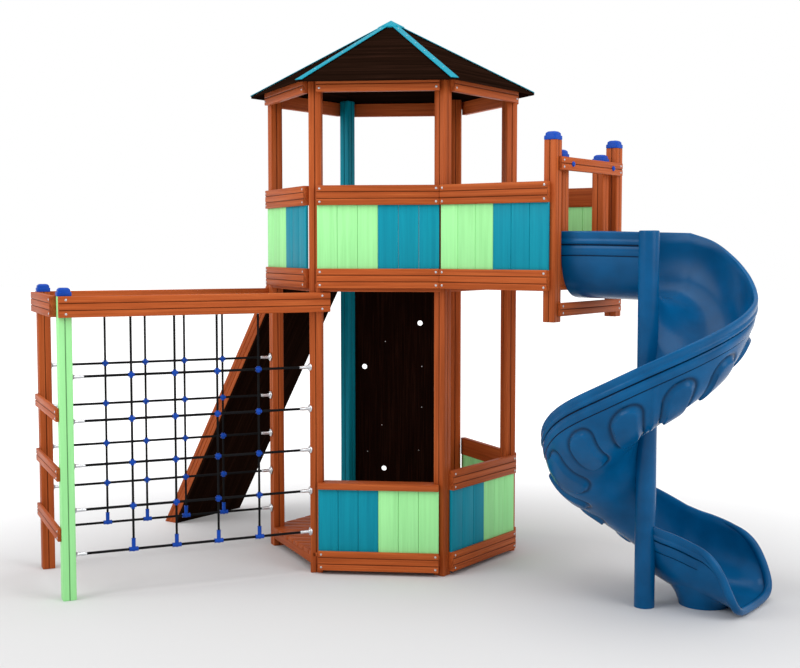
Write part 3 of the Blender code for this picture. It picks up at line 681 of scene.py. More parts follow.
def ridgeScrews(bearing):
    # a screw every screwStep down each side of a strip
    reach = np.arange(0.14, roof["corner"] - 0.03, roof["screwStep"])
    laid = facing(screwHead, (math.sin(math.atan(roof["slope"] * cos30)), 0, 1))
    z = roofZ(reach * cos30) + roof["stripLift"] + roof["stripThick"]
    return [spun(moved(laid, (r, 0, level)), math.radians(bearing)) for r, level in zip(reach, z)]


bearings = range(0, 360, 60)
strips = [ridgeStrip(bearing) for bearing in bearings]
piece("ridgeStrips", strips + [hubShape()], tealPine, ["ridge_strips"], 270)
screws = [screw for bearing in bearings for screw in ridgeScrews(bearing)]
piece("ridgeScrews", screws, (plateZinc, "teal_wood"), (), 270)
print("roof made")

# Decks: boards with a gap between them, on a frame that follows the tower's sides.
deckEdge = apothem + halfPost
deck = {
    "ringWidth": 0.043,
    "ringSetBack": 0.002,
    "ringEase": 0.004,
    "boardEase": 0.003,
    "leastBoard": 0.02,
    "upperPitch": 0.1041,
    "upperGap": 0.006,
    "lowPitch": 0.1,
    "lowGap": 0.014,
    "lowBoard": 0.03,
    "joistHalf": 0.03,
    "joistPitch": 0.36,
    "joistSetBack": 0.03,
    "slideBoards": 9,
}


def deckBoard(corners, low, high):
    outline = roundedCorners(corners, 0.002, 3)
    return bar(outline, low, high, along="z", ease=deck["boardEase"], grainAlong="x")


def hexBoards(pitch, gapWide, low, high, shift):
    # boards laid along x, each cut off where the hexagon's sides cross its two edges
    radius = deckEdge / cos30
    count = int(deckEdge / pitch) + 1
    made = []
    for k in range(-count, count + 1):
        y0 = max((k + shift - 0.5) * pitch + gapWide / 2, -deckEdge)
        y1 = min((k + shift + 0.5) * pitch - gapWide / 2, deckEdge)
        if y1 - y0 < deck["leastBoard"]:
            continue
        x0, x1 = (radius - abs(y) / math.sqrt(3) for y in (y0, y1))
        right = [(x0, y0), (radius, 0), (x1, y1)] if y0 < 0 < y1 else [(x0, y0), (x1, y1)]
        made.append(deckBoard(right + [(-x, y) for x, y in reversed(right)], low, high))
    return made


def squareBar(left, right, low, high, start, end, along="x"):
    corners = [(left, low), (right, low), (right, high), (left, high)]
    return bar(roundedCorners(corners, deck["ringEase"], 3), start, end, along)


def ringBars(low, high):
    # one bar under each side of the deck
    outer = deckEdge - deck["ringSetBack"]
    inner = outer - deck["ringWidth"]
    half = inner * math.tan(math.radians(30))
    return [turned(squareBar(-inner, -outer, low, high, -half, half), azimuth)
            for azimuth in sideAzimuths.values()]


towerDeckLow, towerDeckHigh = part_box("tower_deck")
slideDeckLow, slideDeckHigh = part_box("slide_deck")
upperBoards = hexBoards(deck["upperPitch"], deck["upperGap"], slideDeckLow.z, towerDeckHigh.z, 0.5)
piece("towerDeckBoards", upperBoards, stainedPine, ["tower_deck"], 270)
piece("towerDeckFrame", ringBars(towerDeckLow.z, slideDeckLow.z), stainedPine, ["tower_deck"])

lowDeckLow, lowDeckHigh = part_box("low_deck")
lowBoardFoot = lowDeckHigh.z - deck["lowBoard"]
joistHalf, joistEnd = deck["joistHalf"], deckEdge - deck["joistSetBack"]
joists = [
    turned(squareBar(x - joistHalf, x + joistHalf, lowDeckLow.z, lowBoardFoot, -joistEnd, joistEnd, "y"), 270)
    for x in (-deck["joistPitch"], 0.0, deck["joistPitch"])
]
lowBoards = hexBoards(deck["lowPitch"], deck["lowGap"], lowBoardFoot, lowDeckHigh.z, 0)
piece("lowDeckBoards", lowBoards, stainedPine, ["low_deck"], 270)
piece("lowDeckFrame", ringBars(lowDeckLow.z, lowBoardFoot) + joists, stainedPine, ["low_deck"])


def howFarOut(node, azimuth):
    # how far out from the tower's centre, towards azimuth, a node's middle stands
    offset = middleOf(node)[:2] - towerCentre
    turn = math.radians(azimuth - 270)
    return math.sin(turn) * offset[0] - math.cos(turn) * offset[1]


doorOut = howFarOut("slide_deck_post_front", 330)
jambOut = howFarOut("doorway_jamb_back", 330)
deckBoards = []
deckRun = jambOut + halfPost - deckEdge
across = halfSide + halfPost
for k in range(deck["slideBoards"]):
    near = -deckEdge - deckRun * k / deck["slideBoards"] - deck["upperGap"] / 2
    far = -deckEdge - deckRun * (k + 1) / deck["slideBoards"] + deck["upperGap"] / 2
    corners = [(-across, far), (across, far), (across, near), (-across, near)]
    deckBoards.append(deckBoard(corners, slideDeckLow.z, slideDeckHigh.z))
piece("slideDeckBoards", deckBoards, stainedPine, ["slide_deck"], 330)

# The two thin beams across the doorway's posts, with their bolts and two capped bolts.
doorway = {"boltLateral": 0.4225, "boltUp": 0.023, "capLateral": 0.30, "capRadius": 0.0185, "capRise": 0.012}


def bothWays(value):
    return (-value, value)


def cappedBolt():
    # a domed plastic cap over a bolt's head
    r, rise = doorway["capRadius"], doorway["capRise"]
    t = np.linspace(0, np.pi / 2, 7)
    dome = np.column_stack((0.94 * r * np.cos(t), 0.004 + (rise - 0.004) * np.sin(t)))
    return turnedShape(np.concatenate(([(0, -0.001), (r, -0.001), (r, 0.003), (0.97 * r, 0.004)], dome)), 24)


for node in ("door_beam", "sill_beam"):
    bolts = boltedPlank(node, 330, doorOut, bothWays(halfSide), 2, bothWays(doorway["boltLateral"]),
                        bothWays(doorway["boltUp"]), timber["thinRail"])
    piece(node + "Bolts", bolts, zincBolts, (), 330)
    if node == "door_beam":
        capped = boltsOn(doorOut + railInner + timber["thinRail"], bothWays(doorway["capLateral"]),
                         [middleOf(node)[2]], cappedBolt())
        piece("doorBeamBoltCaps", capped, capPlastic, (), 330)
print("decks and doorway made")

# Net frame: beams and rungs on two posts.
netOut = howFarOut("net_post_front", 210)
netEnd = netOut + halfPost
netLow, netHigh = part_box("net_beam_end")
netFrame = {"pastPost": 0.075, "endHalf": 0.4365, "rungHalf": 0.474, "rungBolt": 0.452}
endHalf = netFrame["endHalf"]
# which way each beam faces, how far out it lies, its ends, and where along it its bolts are
beams = {
    "net_beam_front": (300, halfSide, (-netEnd, netFrame["pastPost"] - apothem), (-netOut, 0.012 - apothem)),
    "net_beam_back": (120, halfSide, (apothem, netEnd), (apothem + 0.03, netOut)),
    "net_beam_end": (210, netOut, bothWays(endHalf), bothWays(endHalf - timber["boltInset"])),
}
for node, (azimuth, reach, ends, boltAlongs) in beams.items():
    bolts = boltedPlank(node, azimuth, reach, ends, 3, boltAlongs, bothWays((netHigh.z - netLow.z) / 3))
    piece(node + "Bolts", bolts, zincBolts, (), azimuth)
rungBolts = []
for node in ("rung_low", "rung_middle", "rung_high"):
    rungBolts += boltedPlank(
        node, 210, netOut, bothWays(netFrame["rungHalf"]), 2, bothWays(netFrame["rungBolt"]),
        bothWays(timber["boltInset"]), timber["thinRail"],
    )
piece("rungBolts", rungBolts, zincBolts, (), 210)
print("net frame made")

# Nets: laid ropes, moulded connectors where they cross, and turned ferrules at the posts.
net = {
    "rows": (0.30, 0.60, 0.90, 1.20, 1.50),
    "columns": (0.44, 0.74, 1.04, 1.34),
    "ropeRadius": 0.009,
    "dropperRadius": 0.0082,
    "dropperTop": 1.945,
    "layLength": 0.085,
    "strands": 6,
    "ballHalf": 0.0165,
    "collarRadius": 0.0125,
    "collarReach": 0.0215,
    "ferruleRadius": 0.0125,
    "ferruleLong": 0.078,
    "ferruleOut": 0.054,
    "flangeRadius": 0.031,
    "endInset": 0.03,
    "rowStep": 0.011,
    "teeRadius": 0.0155,
    "teeReach": 0.031,
    "teeUpRadius": 0.0140,
    "teeUpReach": 0.075,
    "teeBall": 0.0175,
    "eyeReach": 0.0145,
    "eyeThick": 0.0038,
    "eyeUp": 0.006,
    "shankRadius": 0.0045,
    "shankOut": 0.012,
    "sleeveRadius": 0.0115,
    "sleeveLong": 0.032,
    "sleeveDown": 0.05,
}


def ropeAlong(start, end, radius):
    # strands laid round a core: the radius dips between strands, and the whole outline turns once
    # in every lay length, so each column of the grid runs along its own strand
    columns = 4 * net["strands"]
    s = np.linspace(start, end, int((end - start) / net["rowStep"]) + 1)[:, None]
    around = np.arange(columns)[None] * 2 * np.pi / columns
    reach = radius * (0.88 + 0.2 * np.abs(np.cos(net["strands"] / 2 * around)))
    angle = around + 2 * np.pi * s / net["layLength"]
    return shell(np.stack((s + 0 * angle, reach * np.cos(angle), reach * np.sin(angle)), -1))


def upright(made):
    # a shape drawn along x, stood up along z
    x, y, z = made["points"].T
    return {**made, "points": np.stack((-z, y, x), -1)}


def roundBall(half, power=2.6, rows=9, columns=18):
    # a ball that is a little square: each of its circles is a softened square
    up = np.linspace(-np.pi / 2, np.pi / 2, rows + 2)[1:-1, None, None]
    circles = np.abs(np.cos(up)) ** (2 / power) * superOutline(1.0, power, columns)
    rise = np.broadcast_to(signedPower(np.sin(up), 2 / power), (rows, columns, 1))
    return shell(half * np.concatenate((circles, rise), -1))


def collar(radius, start, end):
    profile = [(0, start), (radius, start), (radius, end - 0.004), (radius * 1.1, end - 0.003),
               (radius * 1.1, end - 0.0008), (radius * 0.95, end), (0, end)]
    return turnedShape(profile, 14)


def collarsAlong(ways, radius, reach):
    return [facing(collar(radius, 0.0, reach), way) for way in ways]


crossing = [roundBall(net["ballHalf"])] + collarsAlong(
    ((1, 0, 0), (-1, 0, 0), (0, 0, 1), (0, 0, -1)), net["collarRadius"], net["collarReach"]
)
teeJoint = collarsAlong(((1, 0, 0), (-1, 0, 0)), net["teeRadius"], net["teeReach"])
teeJoint += [collar(net["teeUpRadius"], 0.0, net["teeUpReach"]), roundBall(net["teeBall"], 2.3)]


def ferruleShape():
    # a sleeve that tapers towards the rope, turned from one bar with its flange
    r, long, flange = net["ferruleRadius"], net["ferruleLong"], net["flangeRadius"]
    return turnedShape([(0, -0.004), (flange, -0.004), (flange, 0.0015), (0.93 * flange, 0.004),
                        (1.5 * r, 0.0065), (1.2 * r, 0.011), (r, 0.018), (0.98 * r, 0.7 * long),
                        (0.86 * r, 0.95 * long), (0.74 * r, long), (0, long)], 24)


def eyeShape():
    # an eye bolt's ring: a small circle carried round a larger one
    large, small = np.meshgrid(np.arange(18) * np.pi / 9, np.arange(8) * np.pi / 4, indexing="ij")
    reach = net["eyeReach"] + net["eyeThick"] * np.cos(small)
    points = np.stack((reach * np.cos(large), net["eyeThick"] * np.sin(small), reach * np.sin(large)), -1)
    return shape(points.reshape(-1, 3), gridFaces(18, 8, closedRows=True))


for name, azimuth, toward, node in (("frontNet", 300, -1, "net_front"), ("backNet", 120, 1, "net_back")):
    ropes, joints, metal = [], [], []
    first, last = sorted((toward * (apothem + net["endInset"]), toward * (netOut - net["endInset"])))
    for z in net["rows"]:
        ropes.append(moved(ropeAlong(first, last, net["ropeRadius"]), (0, -halfSide, z)))
        for way, x in ((toward, apothem + net["ferruleOut"]), (-toward, netOut - halfPost)):
            metal.append(moved(facing(ferruleShape(), (way, 0, 0)), (toward * x, -halfSide, z)))
    for column in net["columns"]:
        x = toward * (apothem + column)
        rope = upright(ropeAlong(net["rows"][0], net["dropperTop"], net["dropperRadius"]))
        ropes.append(moved(rope, (x, -halfSide, 0)))
        joints += [moved(one, (x, -halfSide, net["rows"][0])) for one in teeJoint]
        joints += [moved(one, (x, -halfSide, z)) for z in net["rows"][1:] for one in crossing]
        # the eye bolt, its shank in the beam, and the sleeve on the rope below it
        eyeZ = net["dropperTop"] + net["eyeUp"]
        shank = facing(collar(net["shankRadius"], 0.0, halfPost + 0.004), (0, -1, 0))
        sleeve = collar(net["sleeveRadius"], 0.0, net["sleeveLong"])
        metal.append(moved(eyeShape(), (x, -halfSide, eyeZ)))
        metal.append(moved(shank, (x, -halfSide - net["shankOut"], eyeZ)))
        metal.append(moved(sleeve, (x, -halfSide, net["dropperTop"] - net["sleeveDown"])))
    piece(name + "Ropes", ropes, blackRope, [node], azimuth)
    piece(name + "Connectors", joints, capPlastic, [node], azimuth)
    piece(name + "Fittings", metal, turnedAluminium, [node], azimuth)
print("nets made")

# Ramp: a board that leans on the deck, with a grooved rail along each edge of its upper face.
ramp = {
    "slope": math.radians(60),
    "foot": apothem + 1.205,
    "top": deckEdge + timber["gap"],
    "half": 0.392,
    "board": 0.02,
    "boardEase": 0.003,
    "railHeight": 0.106,
    "railThick": 0.04,
}


def leaning(outline, ease=0.003):
    # an outline of (x, distance off the underside) carried up the slope, cut level at the ground and
    # upright against the deck, and drawn in at both ends by the ease
    s, c = math.sin(ramp["slope"]), math.cos(ramp["slope"])
    rings = easedRings(outline, ease)
    off = rings[..., 1]
    begin = -off * c / s
    stop = (ramp["foot"] + off * s - ramp["top"]) / c
    inset = np.array([0, 0.3, 1, -1, -0.3, 0])[:, None] * ease
    along = np.where(np.arange(6)[:, None] < 3, begin, stop) + inset
    out = ramp["foot"] - along * c + off * s
    grain = np.stack((along, rings[..., 0], off), -1).reshape(-1, 3) + grainDice.uniform(0, 60, 3)
    return shell(np.stack((rings[..., 0], -out, along * s + off * c), -1), grain)


def rampRail(outward):
    # a rail with three bands on its outer side
    low = ramp["board"] + timber["gap"]
    outline = plankOutline(ramp["railThick"], 0.0, low, low + ramp["railHeight"], 3)
    return outline * (-1, 1) * (outward, 1) + (outward * (ramp["half"] - ramp["railThick"]), 0)


halfRamp, boardThick = ramp["half"], ramp["board"]
boardOutline = roundedCorners(
    [(-halfRamp, 0), (halfRamp, 0), (halfRamp, boardThick), (-halfRamp, boardThick)], ramp["boardEase"], 3
)
piece("rampBoardPly", [leaning(boardOutline)], filmPly, ["ramp_board"], 150)
rampRails = [leaning(rampRail(way)) for way in (1, -1)]
piece("rampRails", rampRails, stainedPine, ["ramp_rail_front", "ramp_rail_back"], 150)
print("ramp made")

# Climbing wall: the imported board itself, in film-faced ply whose grain runs up the wall.
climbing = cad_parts["climbing_wall"]


def climbingLook():
    # the same film as the other ply's, with streaks that are drawn out up the board
    look, shader = newLook("brownFilmFacedPlyUpright", **{"Roughness": 0.55, "Specular IOR Level": 0.0})
    streaks = noise(look, objectPlace(look), (11, 11, woodGrain["streakLong"]), 5.0, 0.6)
    stops = ((0.0, "#140906"), (0.6, "#1C0E09"), (1.0, "#28160F"))
    colour = colourBand(look, remapped(look, streaks, 0.0, 1.0, 0.36, 0.64), stops)
    return finished(look, shader, colour, streaks, 0.12, 0.6)


climbing.data.materials.clear()
climbing.data.materials.append(climbingLook())
# the bolts that the photograph shows on the inner face, as (along, height)
climbBolts = (
    (-0.142, 1.565), (0.168, 1.354), (0.167, 1.008), (-0.172, 0.851), (-0.295, 0.622), (0.143, 0.637),
)
climbFace = apothem + railInner
nuts = [moved(facing(screwHead, (0, -1, 0)), (x, climbFace, z)) for x, z in climbBolts]
piece("climbingWallNuts", nuts, (plateZinc, "dark_ply"), (), 270)

# Holds on the wall's outer face, one at each of those bolts.
hold = {"width": 0.062, "height": 0.044, "rise": 0.05, "lip": 0.35, "seat": 0.003, "columns": 28}


def holdShape(lean):
    # a rounded grip: its rings shrink as cos(a)^0.7 while they rise as sin(a), and lean upwards
    angle = np.linspace(0, 2 * np.pi, hold["columns"], endpoint=False)
    a = np.linspace(0, 0.47 * np.pi, 9)[:, None]
    shrink, rise = np.cos(a) ** 0.7, np.sin(a)
    bulge = 1 + 0.12 * np.cos(2 * angle + lean) + 0.06 * np.cos(3 * angle - lean)
    x = hold["width"] * shrink * bulge * np.cos(angle)
    z = hold["height"] * shrink * bulge * np.sin(angle) + hold["lip"] * hold["rise"] * rise ** 2
    rings = np.stack((x, np.broadcast_to(hold["rise"] * rise, x.shape), z), -1)
    return shell(np.concatenate((rings[:1] - np.array([0, hold["seat"], 0]), rings)))


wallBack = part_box("climbing_wall")[1].y - towerCentre[1]
holds = [moved(holdShape(k * 1.1), (x, wallBack, z)) for k, (x, z) in enumerate(climbBolts)]
piece("climbingHolds", holds, capPlastic, (), 270)

# Slide: a shell wound down a pole. Each station across it is a rounded trough, and the table gives
# its rim's height, its depth and how square its bottom is at each angle of the turn.
slide = {
    "azimuth": 330,
    "poleAlong": 2.316,
    "poleLateral": -0.338,
    "poleRadius": 0.067,
    "poleTop": 2.47,
    "wall": 0.016,
    "fullDepth": 0.42,  # shallower than this, the rim's rows close up
    "rollDepth": 0.2,  # shallower than this, the rim's rolls flatten out
    "innerTop": 0.006,
    "poleBite": 0.04,
    "entryHalf": 0.362,
    "entrySquareness": 3.2,
    "entryRim": 2.471,
    "turnHalf": 0.335,
    "entryStations": 12,
    "turnStations": 400,
    "exitStations": 76,
    "wallRows": 50,
    "innerRows": 44,
}
turnTable = np.array([
    (0, 2.460, 0.460, 2.9), (15, 2.402, 0.464, 2.7), (30, 2.305, 0.470, 2.5), (45, 2.198, 0.454, 2.4),
    (60, 2.096, 0.441, 2.3), (90, 1.976, 0.454, 2.3), (120, 1.851, 0.480, 2.3), (150, 1.701, 0.470, 2.3),
    (180, 1.527, 0.452, 2.3), (210, 1.356, 0.446, 2.3), (240, 1.157, 0.441, 2.3), (270, 1.014, 0.434, 2.3),
    (300, 0.864, 0.428, 2.3), (330, 0.728, 0.430, 2.3), (360, 0.565, 0.429, 2.4),
])
# past the pole: how far, the rim's height, the underside's, half the width, and the squareness
exitTable = np.array([
    (0.000, 0.565, 0.136, 0.335, 2.4), (0.090, 0.536, 0.102, 0.346, 2.5), (0.200, 0.512, 0.076, 0.350, 2.6),
    (0.340, 0.468, 0.055, 0.352, 2.7), (0.430, 0.424, 0.046, 0.352, 2.8), (0.490, 0.360, 0.039, 0.351, 2.9),
    (0.535, 0.285, 0.033, 0.349, 2.9), (0.570, 0.200, 0.028, 0.344, 2.9), (0.595, 0.140, 0.026, 0.334, 2.7),
    (0.610, 0.096, 0.030, 0.312, 2.5),
])
# the rolled rim, as (how far out from the wall, how far below the rim's top): a round edge, an upper
# roll, a bead, a groove and a flat band that ends in a fine groove
rimProfile = np.array([
    (-0.0135, 0.0035), (-0.009, 0.0008), (-0.002, 0.0), (0.006, 0.0008), (0.011, 0.0045), (0.0125, 0.010),
    (0.0125, 0.034), (0.0105, 0.041), (0.0090, 0.047), (0.0090, 0.053), (0.0115, 0.058), (0.0135, 0.062),
    (0.0145, 0.072), (0.0135, 0.081), (0.0085, 0.0865), (-0.0040, 0.0885), (-0.0050, 0.0935),
    (0.0035, 0.0970), (0.0065, 0.1000), (0.0070, 0.130), (0.0065, 0.1570), (0.0045, 0.1600),
    (-0.0040, 0.1615), (-0.0040, 0.1650), (0.0, 0.1675),
])
bandFrom, bandEnd = 17, 0.37  # the band's first row, and how far past the pole the band ends
# the rim's grooves, marked for painted shade: from and to what distance below the rim, and how far past the
# pole
shadedRimGrooves = ((0.0865, 0.0950, 1.0), (0.1600, 0.1655, 0.36))


def curveThrough(table, at):
    # every column of the table as a smooth curve over its first column: between two rows the value at
    # t is (2t^3-3t^2+1)a + (t^3-2t^2+t)A + (3t^2-2t^3)b + (t^3-t^2)B, with the slopes A and B at its ends
    place, values = table[:, 0], table[:, 1:]
    slopes = np.gradient(values, place, axis=0)
    k = np.clip(np.searchsorted(place, at, side="right") - 1, 0, len(place) - 2)
    step = (place[k + 1] - place[k])[:, None]
    t = (at - place[k])[:, None] / step
    return ((2 * t ** 3 - 3 * t ** 2 + 1) * values[k] + (t ** 3 - 2 * t ** 2 + t) * step * slopes[k]
            + (3 * t ** 2 - 2 * t ** 3) * values[k + 1] + (t ** 3 - t ** 2) * step * slopes[k + 1])


def slideStations():
    # every station's middle (lateral, along), its way across, rim, depth, half width and squareness,
    # with the angle it has turned and its distance past the pole
    s = slide
    start = jambOut + halfPost + timber["gap"]
    part = np.arange(s["entryStations"]) / s["entryStations"]
    rim, depth, square = turnTable[0, 1:]
    entry = np.column_stack((
        0 * part, start + (s["poleAlong"] - start) * part, 0 * part,
        s["entryRim"] + (rim - s["entryRim"]) * part ** 2, 0 * part + depth,
        s["entryHalf"] + (s["turnHalf"] - s["entryHalf"]) * part,
        s["entrySquareness"] + (square - s["entrySquareness"]) * part, 0 * part,
    ))
    swept = np.linspace(0, 360, s["turnStations"] + 1)
    angle = np.radians(swept)
    rim, depth, square = curveThrough(turnTable, swept).T
    turns = np.column_stack((
        s["poleLateral"] * (1 - np.cos(angle)), s["poleAlong"] - s["poleLateral"] * np.sin(angle), swept,
        rim, depth, 0 * angle + s["turnHalf"], square, 0 * angle,
    ))
    past = exitTable[-1, 0] * (1 - (1 - np.arange(1, s["exitStations"] + 1) / s["exitStations"]) ** 1.5)
    rim, under, half, square = curveThrough(exitTable, past).T
    out = np.column_stack((
        0 * past, s["poleAlong"] + past, 0 * past + 360, rim, rim - under, half, square, past,
    ))
    return np.concatenate((entry, turns, out))


# Pads that stiffen the outer wall: one every 30 degrees, with a groove round it and a raised middle.
pad = {
    "first": 17,
    "last": 317,
    "pitch": 30,
    "middleDown": 0.405,
    "halfLong": 0.200,
    "halfWide": 0.120,
    "corner": 0.108,
    "reach": 0.64,
    "grooveIn": 0.012,
    "grooveWide": 0.0105,
    "grooveDeep": 0.010,
    "riseFrom": 0.034,
    "riseTo": 0.048,
    "rise": 0.020,
    "turnFrom": (0, 4),
    "turnTo": (330, 338),
    "outsideFrom": 0.02,
}
# the lap joint between the two mouldings: a band round the wall, from a distance below the rim
joint = {"angle": 151.5, "half": 1.5, "soft": 0.5, "rise": 0.005, "from": 0.172}


def smoothStep(value, low, high):
    t = np.clip((value - low) / (high - low), 0, 1)
    return t * t * (3 - 2 * t)


def padRelief(swept, down):
    # how far the wall stands out at each angle and distance down from the rim: "inside" is the
    # distance in from the outline of the nearest pad, a rectangle with round corners
    centre = np.clip(np.round((swept - pad["first"]) / pad["pitch"]), 0, None) * pad["pitch"] + pad["first"]
    centre = np.minimum(centre, pad["last"])
    x = np.abs(np.radians(swept - centre) * pad["reach"]) - (pad["halfWide"] - pad["corner"])
    y = np.abs(down - pad["middleDown"]) - (pad["halfLong"] - pad["corner"])
    inside = pad["corner"] - np.hypot(np.maximum(x, 0), np.maximum(y, 0)) - np.minimum(np.maximum(x, y), 0)
    groove = np.exp(-((inside - pad["grooveIn"]) / pad["grooveWide"]) ** 2)
    middle = pad["rise"] * smoothStep(inside, pad["riseFrom"], pad["riseTo"])
    # the second value is how strongly painted shade darkens the groove round the pad
    return middle - pad["grooveDeep"] * groove, 0.8 * groove


def troughShape():
    stations = slideStations()
    lateral, along, swept, rim, depth, half, square, past = (stations[:, [k]] for k in range(8))
    squeeze = np.minimum(1, depth / slide["fullDepth"])
    inBand = np.arange(len(rimProfile)) >= bandFrom
    bandEnds = 1 - inBand * smoothStep(past, bandEnd - 0.015, bandEnd)
    sides, plainSides = [], []
    for way in (-1, 1):
        # down one side: the rolled rim, then the wall, where across = half * cos(a)^(2/n) and
        # below = depth * sin(a)^(2/n), with n the squareness
        flangeOut = rimProfile[:, 0] * np.minimum(1, depth / slide["rollDepth"]) * bandEnds
        flangeDown = rimProfile[:, 1] * squeeze
        flangeWall = half * (1 - (flangeDown / depth) ** square) ** (1 / square)
        first = np.arcsin((rimProfile[-1, 1] * squeeze / depth) ** (square / 2))
        a = first + (np.pi / 2 - first) * np.arange(1, slide["wallRows"] + 1)[None] / slide["wallRows"]
        wallOut = half * np.abs(np.cos(a)) ** (2 / square)
        wallDown = depth * np.sin(a) ** (2 / square)
        wallBelow = np.concatenate((flangeDown, wallDown), 1)
        plainSides.append((way * np.concatenate((flangeWall, wallOut), 1), wallBelow))
        sides.append((way * np.concatenate((flangeWall + flangeOut, wallOut), 1), wallBelow))
    (leftOut, leftDown), (rightOut, rightDown) = sides
    across = np.concatenate((leftOut, rightOut[:, -2::-1]), 1)
    below = np.concatenate((leftDown, rightDown[:, -2::-1]), 1)
    # the pads and the joint stand out along the wall's own normal, on the outer side of the turn
    plain = np.concatenate((plainSides[0][0], plainSides[1][0][:, -2::-1]), 1)
    ran = np.hypot(np.diff(plain, axis=1), np.diff(below, axis=1))
    ran = np.concatenate((0 * depth, np.cumsum(ran, 1)), 1)
    fromRim = ran[:, -1:] - ran
    slopeAcross, slopeBelow = np.gradient(across, axis=1), np.gradient(below, axis=1)
    size = np.hypot(slopeAcross, slopeBelow) + 1e-9
    onTurn = smoothStep(swept, *pad["turnFrom"]) * (1 - smoothStep(swept, *pad["turnTo"]))
    outside = onTurn * (across > pad["outsideFrom"])
    # the pads' grooves and the rim's grooves are marked for painted shade, which darkens their colour
    relief, hollow = (outside * value for value in padRelief(swept, fromRim))
    for low, high, until in shadedRimGrooves:
        hollow = np.maximum(hollow, (below > low * squeeze) & (below < high * squeeze) & (past < until))
    away = np.abs(swept - joint["angle"])
    lap = 1 - smoothStep(away, joint["half"] - joint["soft"], joint["half"])
    relief += joint["rise"] * lap * smoothStep(np.minimum(fromRim, ran), joint["from"], joint["from"] + 0.012)
    across = across - relief * slopeBelow / size
    below = below + relief * slopeAcross / size
    innerHalf, innerDepth = half - slide["wall"], depth - np.minimum(slide["wall"], 0.6 * depth)
    a = np.linspace(0, np.pi, slide["innerRows"])[None]
    innerAcross = innerHalf * signedPower(np.cos(a), 2 / square)
    innerTop = slide["innerTop"] * squeeze
    innerBelow = innerTop + (innerDepth - innerTop) * np.maximum(np.sin(a), 0) ** (2 / square)
    # round the pole both skins keep from reaching past its middle
    nearest = np.where((swept > 0) & (swept < 360), slide["poleLateral"] + slide["poleBite"], -1.0)
    across, innerAcross = np.maximum(across, nearest), np.maximum(innerAcross, nearest + slide["wall"])
    reach, down = np.concatenate((across, innerAcross), 1), np.concatenate((below, innerBelow), 1)
    angle = np.radians(swept)
    rings = np.stack((lateral + reach * np.cos(angle), -along - reach * np.sin(angle), rim - down), -1)
    hollow = np.concatenate((np.clip(hollow, 0, 1), 0 * innerBelow), 1)
    return {**shell(rings), "hollow": hollow.ravel()}


def poleShape():
    # a moulded column whose upper edge is rounded over
    r, top = slide["poleRadius"], slide["poleTop"]
    return turnedShape([(0, 0), (r, 0.0), (r, 0.3), (r, 1.2), (r, top - 0.012), (0.97 * r, top - 0.004),
                        (0.9 * r, top), (0, top)], 64)


foot = {"along": 0.294, "lateral": -0.04, "radius": 0.168, "flare": 0.07}


def footShape():
    # a round hollow foot: its wall widens in a curve where it runs into the trough
    angle = np.linspace(0, 2 * np.pi, 64, endpoint=False)
    rings = []
    for up, flare in (
        (0, 0.0), (0.03, 0.01), (0.3, 0.12), (0.6, 0.32), (0.8, 0.55), (0.92, 0.78), (1, 1), (1, -1.5),
    ):
        radius = foot["radius"] + foot["flare"] * flare
        x, past = foot["lateral"] + radius * np.cos(angle), foot["along"] + radius * np.sin(angle)
        rim, under, half, square = curveThrough(exitTable, past).T
        rise = np.maximum(1 - (np.abs(x) / half) ** square, 0) ** (1 / square)
        height = rim - (rim - under) * rise + slide["wall"] / 2
        rings.append(np.column_stack((x, -slide["poleAlong"] - past, up * height)))
    return shell(np.array(rings))


lip = {
    "from": 0.16,
    "radius": 0.0275,
    "sink": 0.55,
    "inset": 0.004,
    "thinEnd": 0.3,
    "growShare": 0.2,
    "segments": 16,
    "step": 0.010,
    "roundings": 60,
}


def stepsAlong(path):
    return np.linalg.norm(np.diff(path, axis=0), axis=1)


def unit(vectors):
    return vectors / np.linalg.norm(vectors, axis=1, keepdims=True)


def lipShape():
    # the thick roll round the slide's outlet: a tube carried down the near rim, across the end and up
    # the far rim, that starts thin and grows to its full radius over the first fifth of its length
    stations = slideStations()
    along, _, rim, depth, half, square, past = stations[stations[:, 7] > lip["from"]].T[1:]
    sink = lip["radius"] * lip["sink"]
    edge = np.column_stack((half - lip["inset"], -along, rim - sink))
    a = np.linspace(0, np.pi, 40)[1:-1]
    across = (half[-1] - lip["inset"]) * signedPower(np.cos(a), 2 / square[-1])
    below = 0.8 * depth[-1] * np.sin(a) ** (2 / square[-1])
    end = np.column_stack((across, 0 * a - along[-1], rim[-1] - sink - below))
    path = np.concatenate((edge * (-1, 1, 1), end[::-1], edge[::-1]))
    path = path[np.concatenate(([True], stepsAlong(path) > 1e-5))]
    run = np.concatenate(([0], np.cumsum(stepsAlong(path))))
    count = int(run[-1] / lip["step"])
    even = np.column_stack([np.interp(np.linspace(0, run[-1], count), run, path[:, k]) for k in range(3)])
    for _ in range(lip["roundings"]):
        # every point moves half way to the middle of its neighbours, which rounds the corners
        even[1:-1] += 0.5 * ((even[:-2] + even[2:]) / 2 - even[1:-1])
    ahead = unit(np.gradient(even, axis=0))
    first = unit(np.cross(ahead, (0, -0.4, 1.0)))
    second = np.cross(ahead, first)
    share = np.linspace(0, 1, count)[:, None, None]
    grown = smoothStep(np.minimum(share, 1 - share), 0.0, lip["growShare"])
    reach = lip["radius"] * (lip["thinEnd"] + (1 - lip["thinEnd"]) * grown)
    angle = np.linspace(0, 2 * np.pi, lip["segments"], endpoint=False)[None, :, None]
    rings = even[:, None] + reach * (np.cos(angle) * first[:, None] + np.sin(angle) * second[:, None])
    rings[..., 2] = np.maximum(rings[..., 2], 0.001)
    return shell(rings)


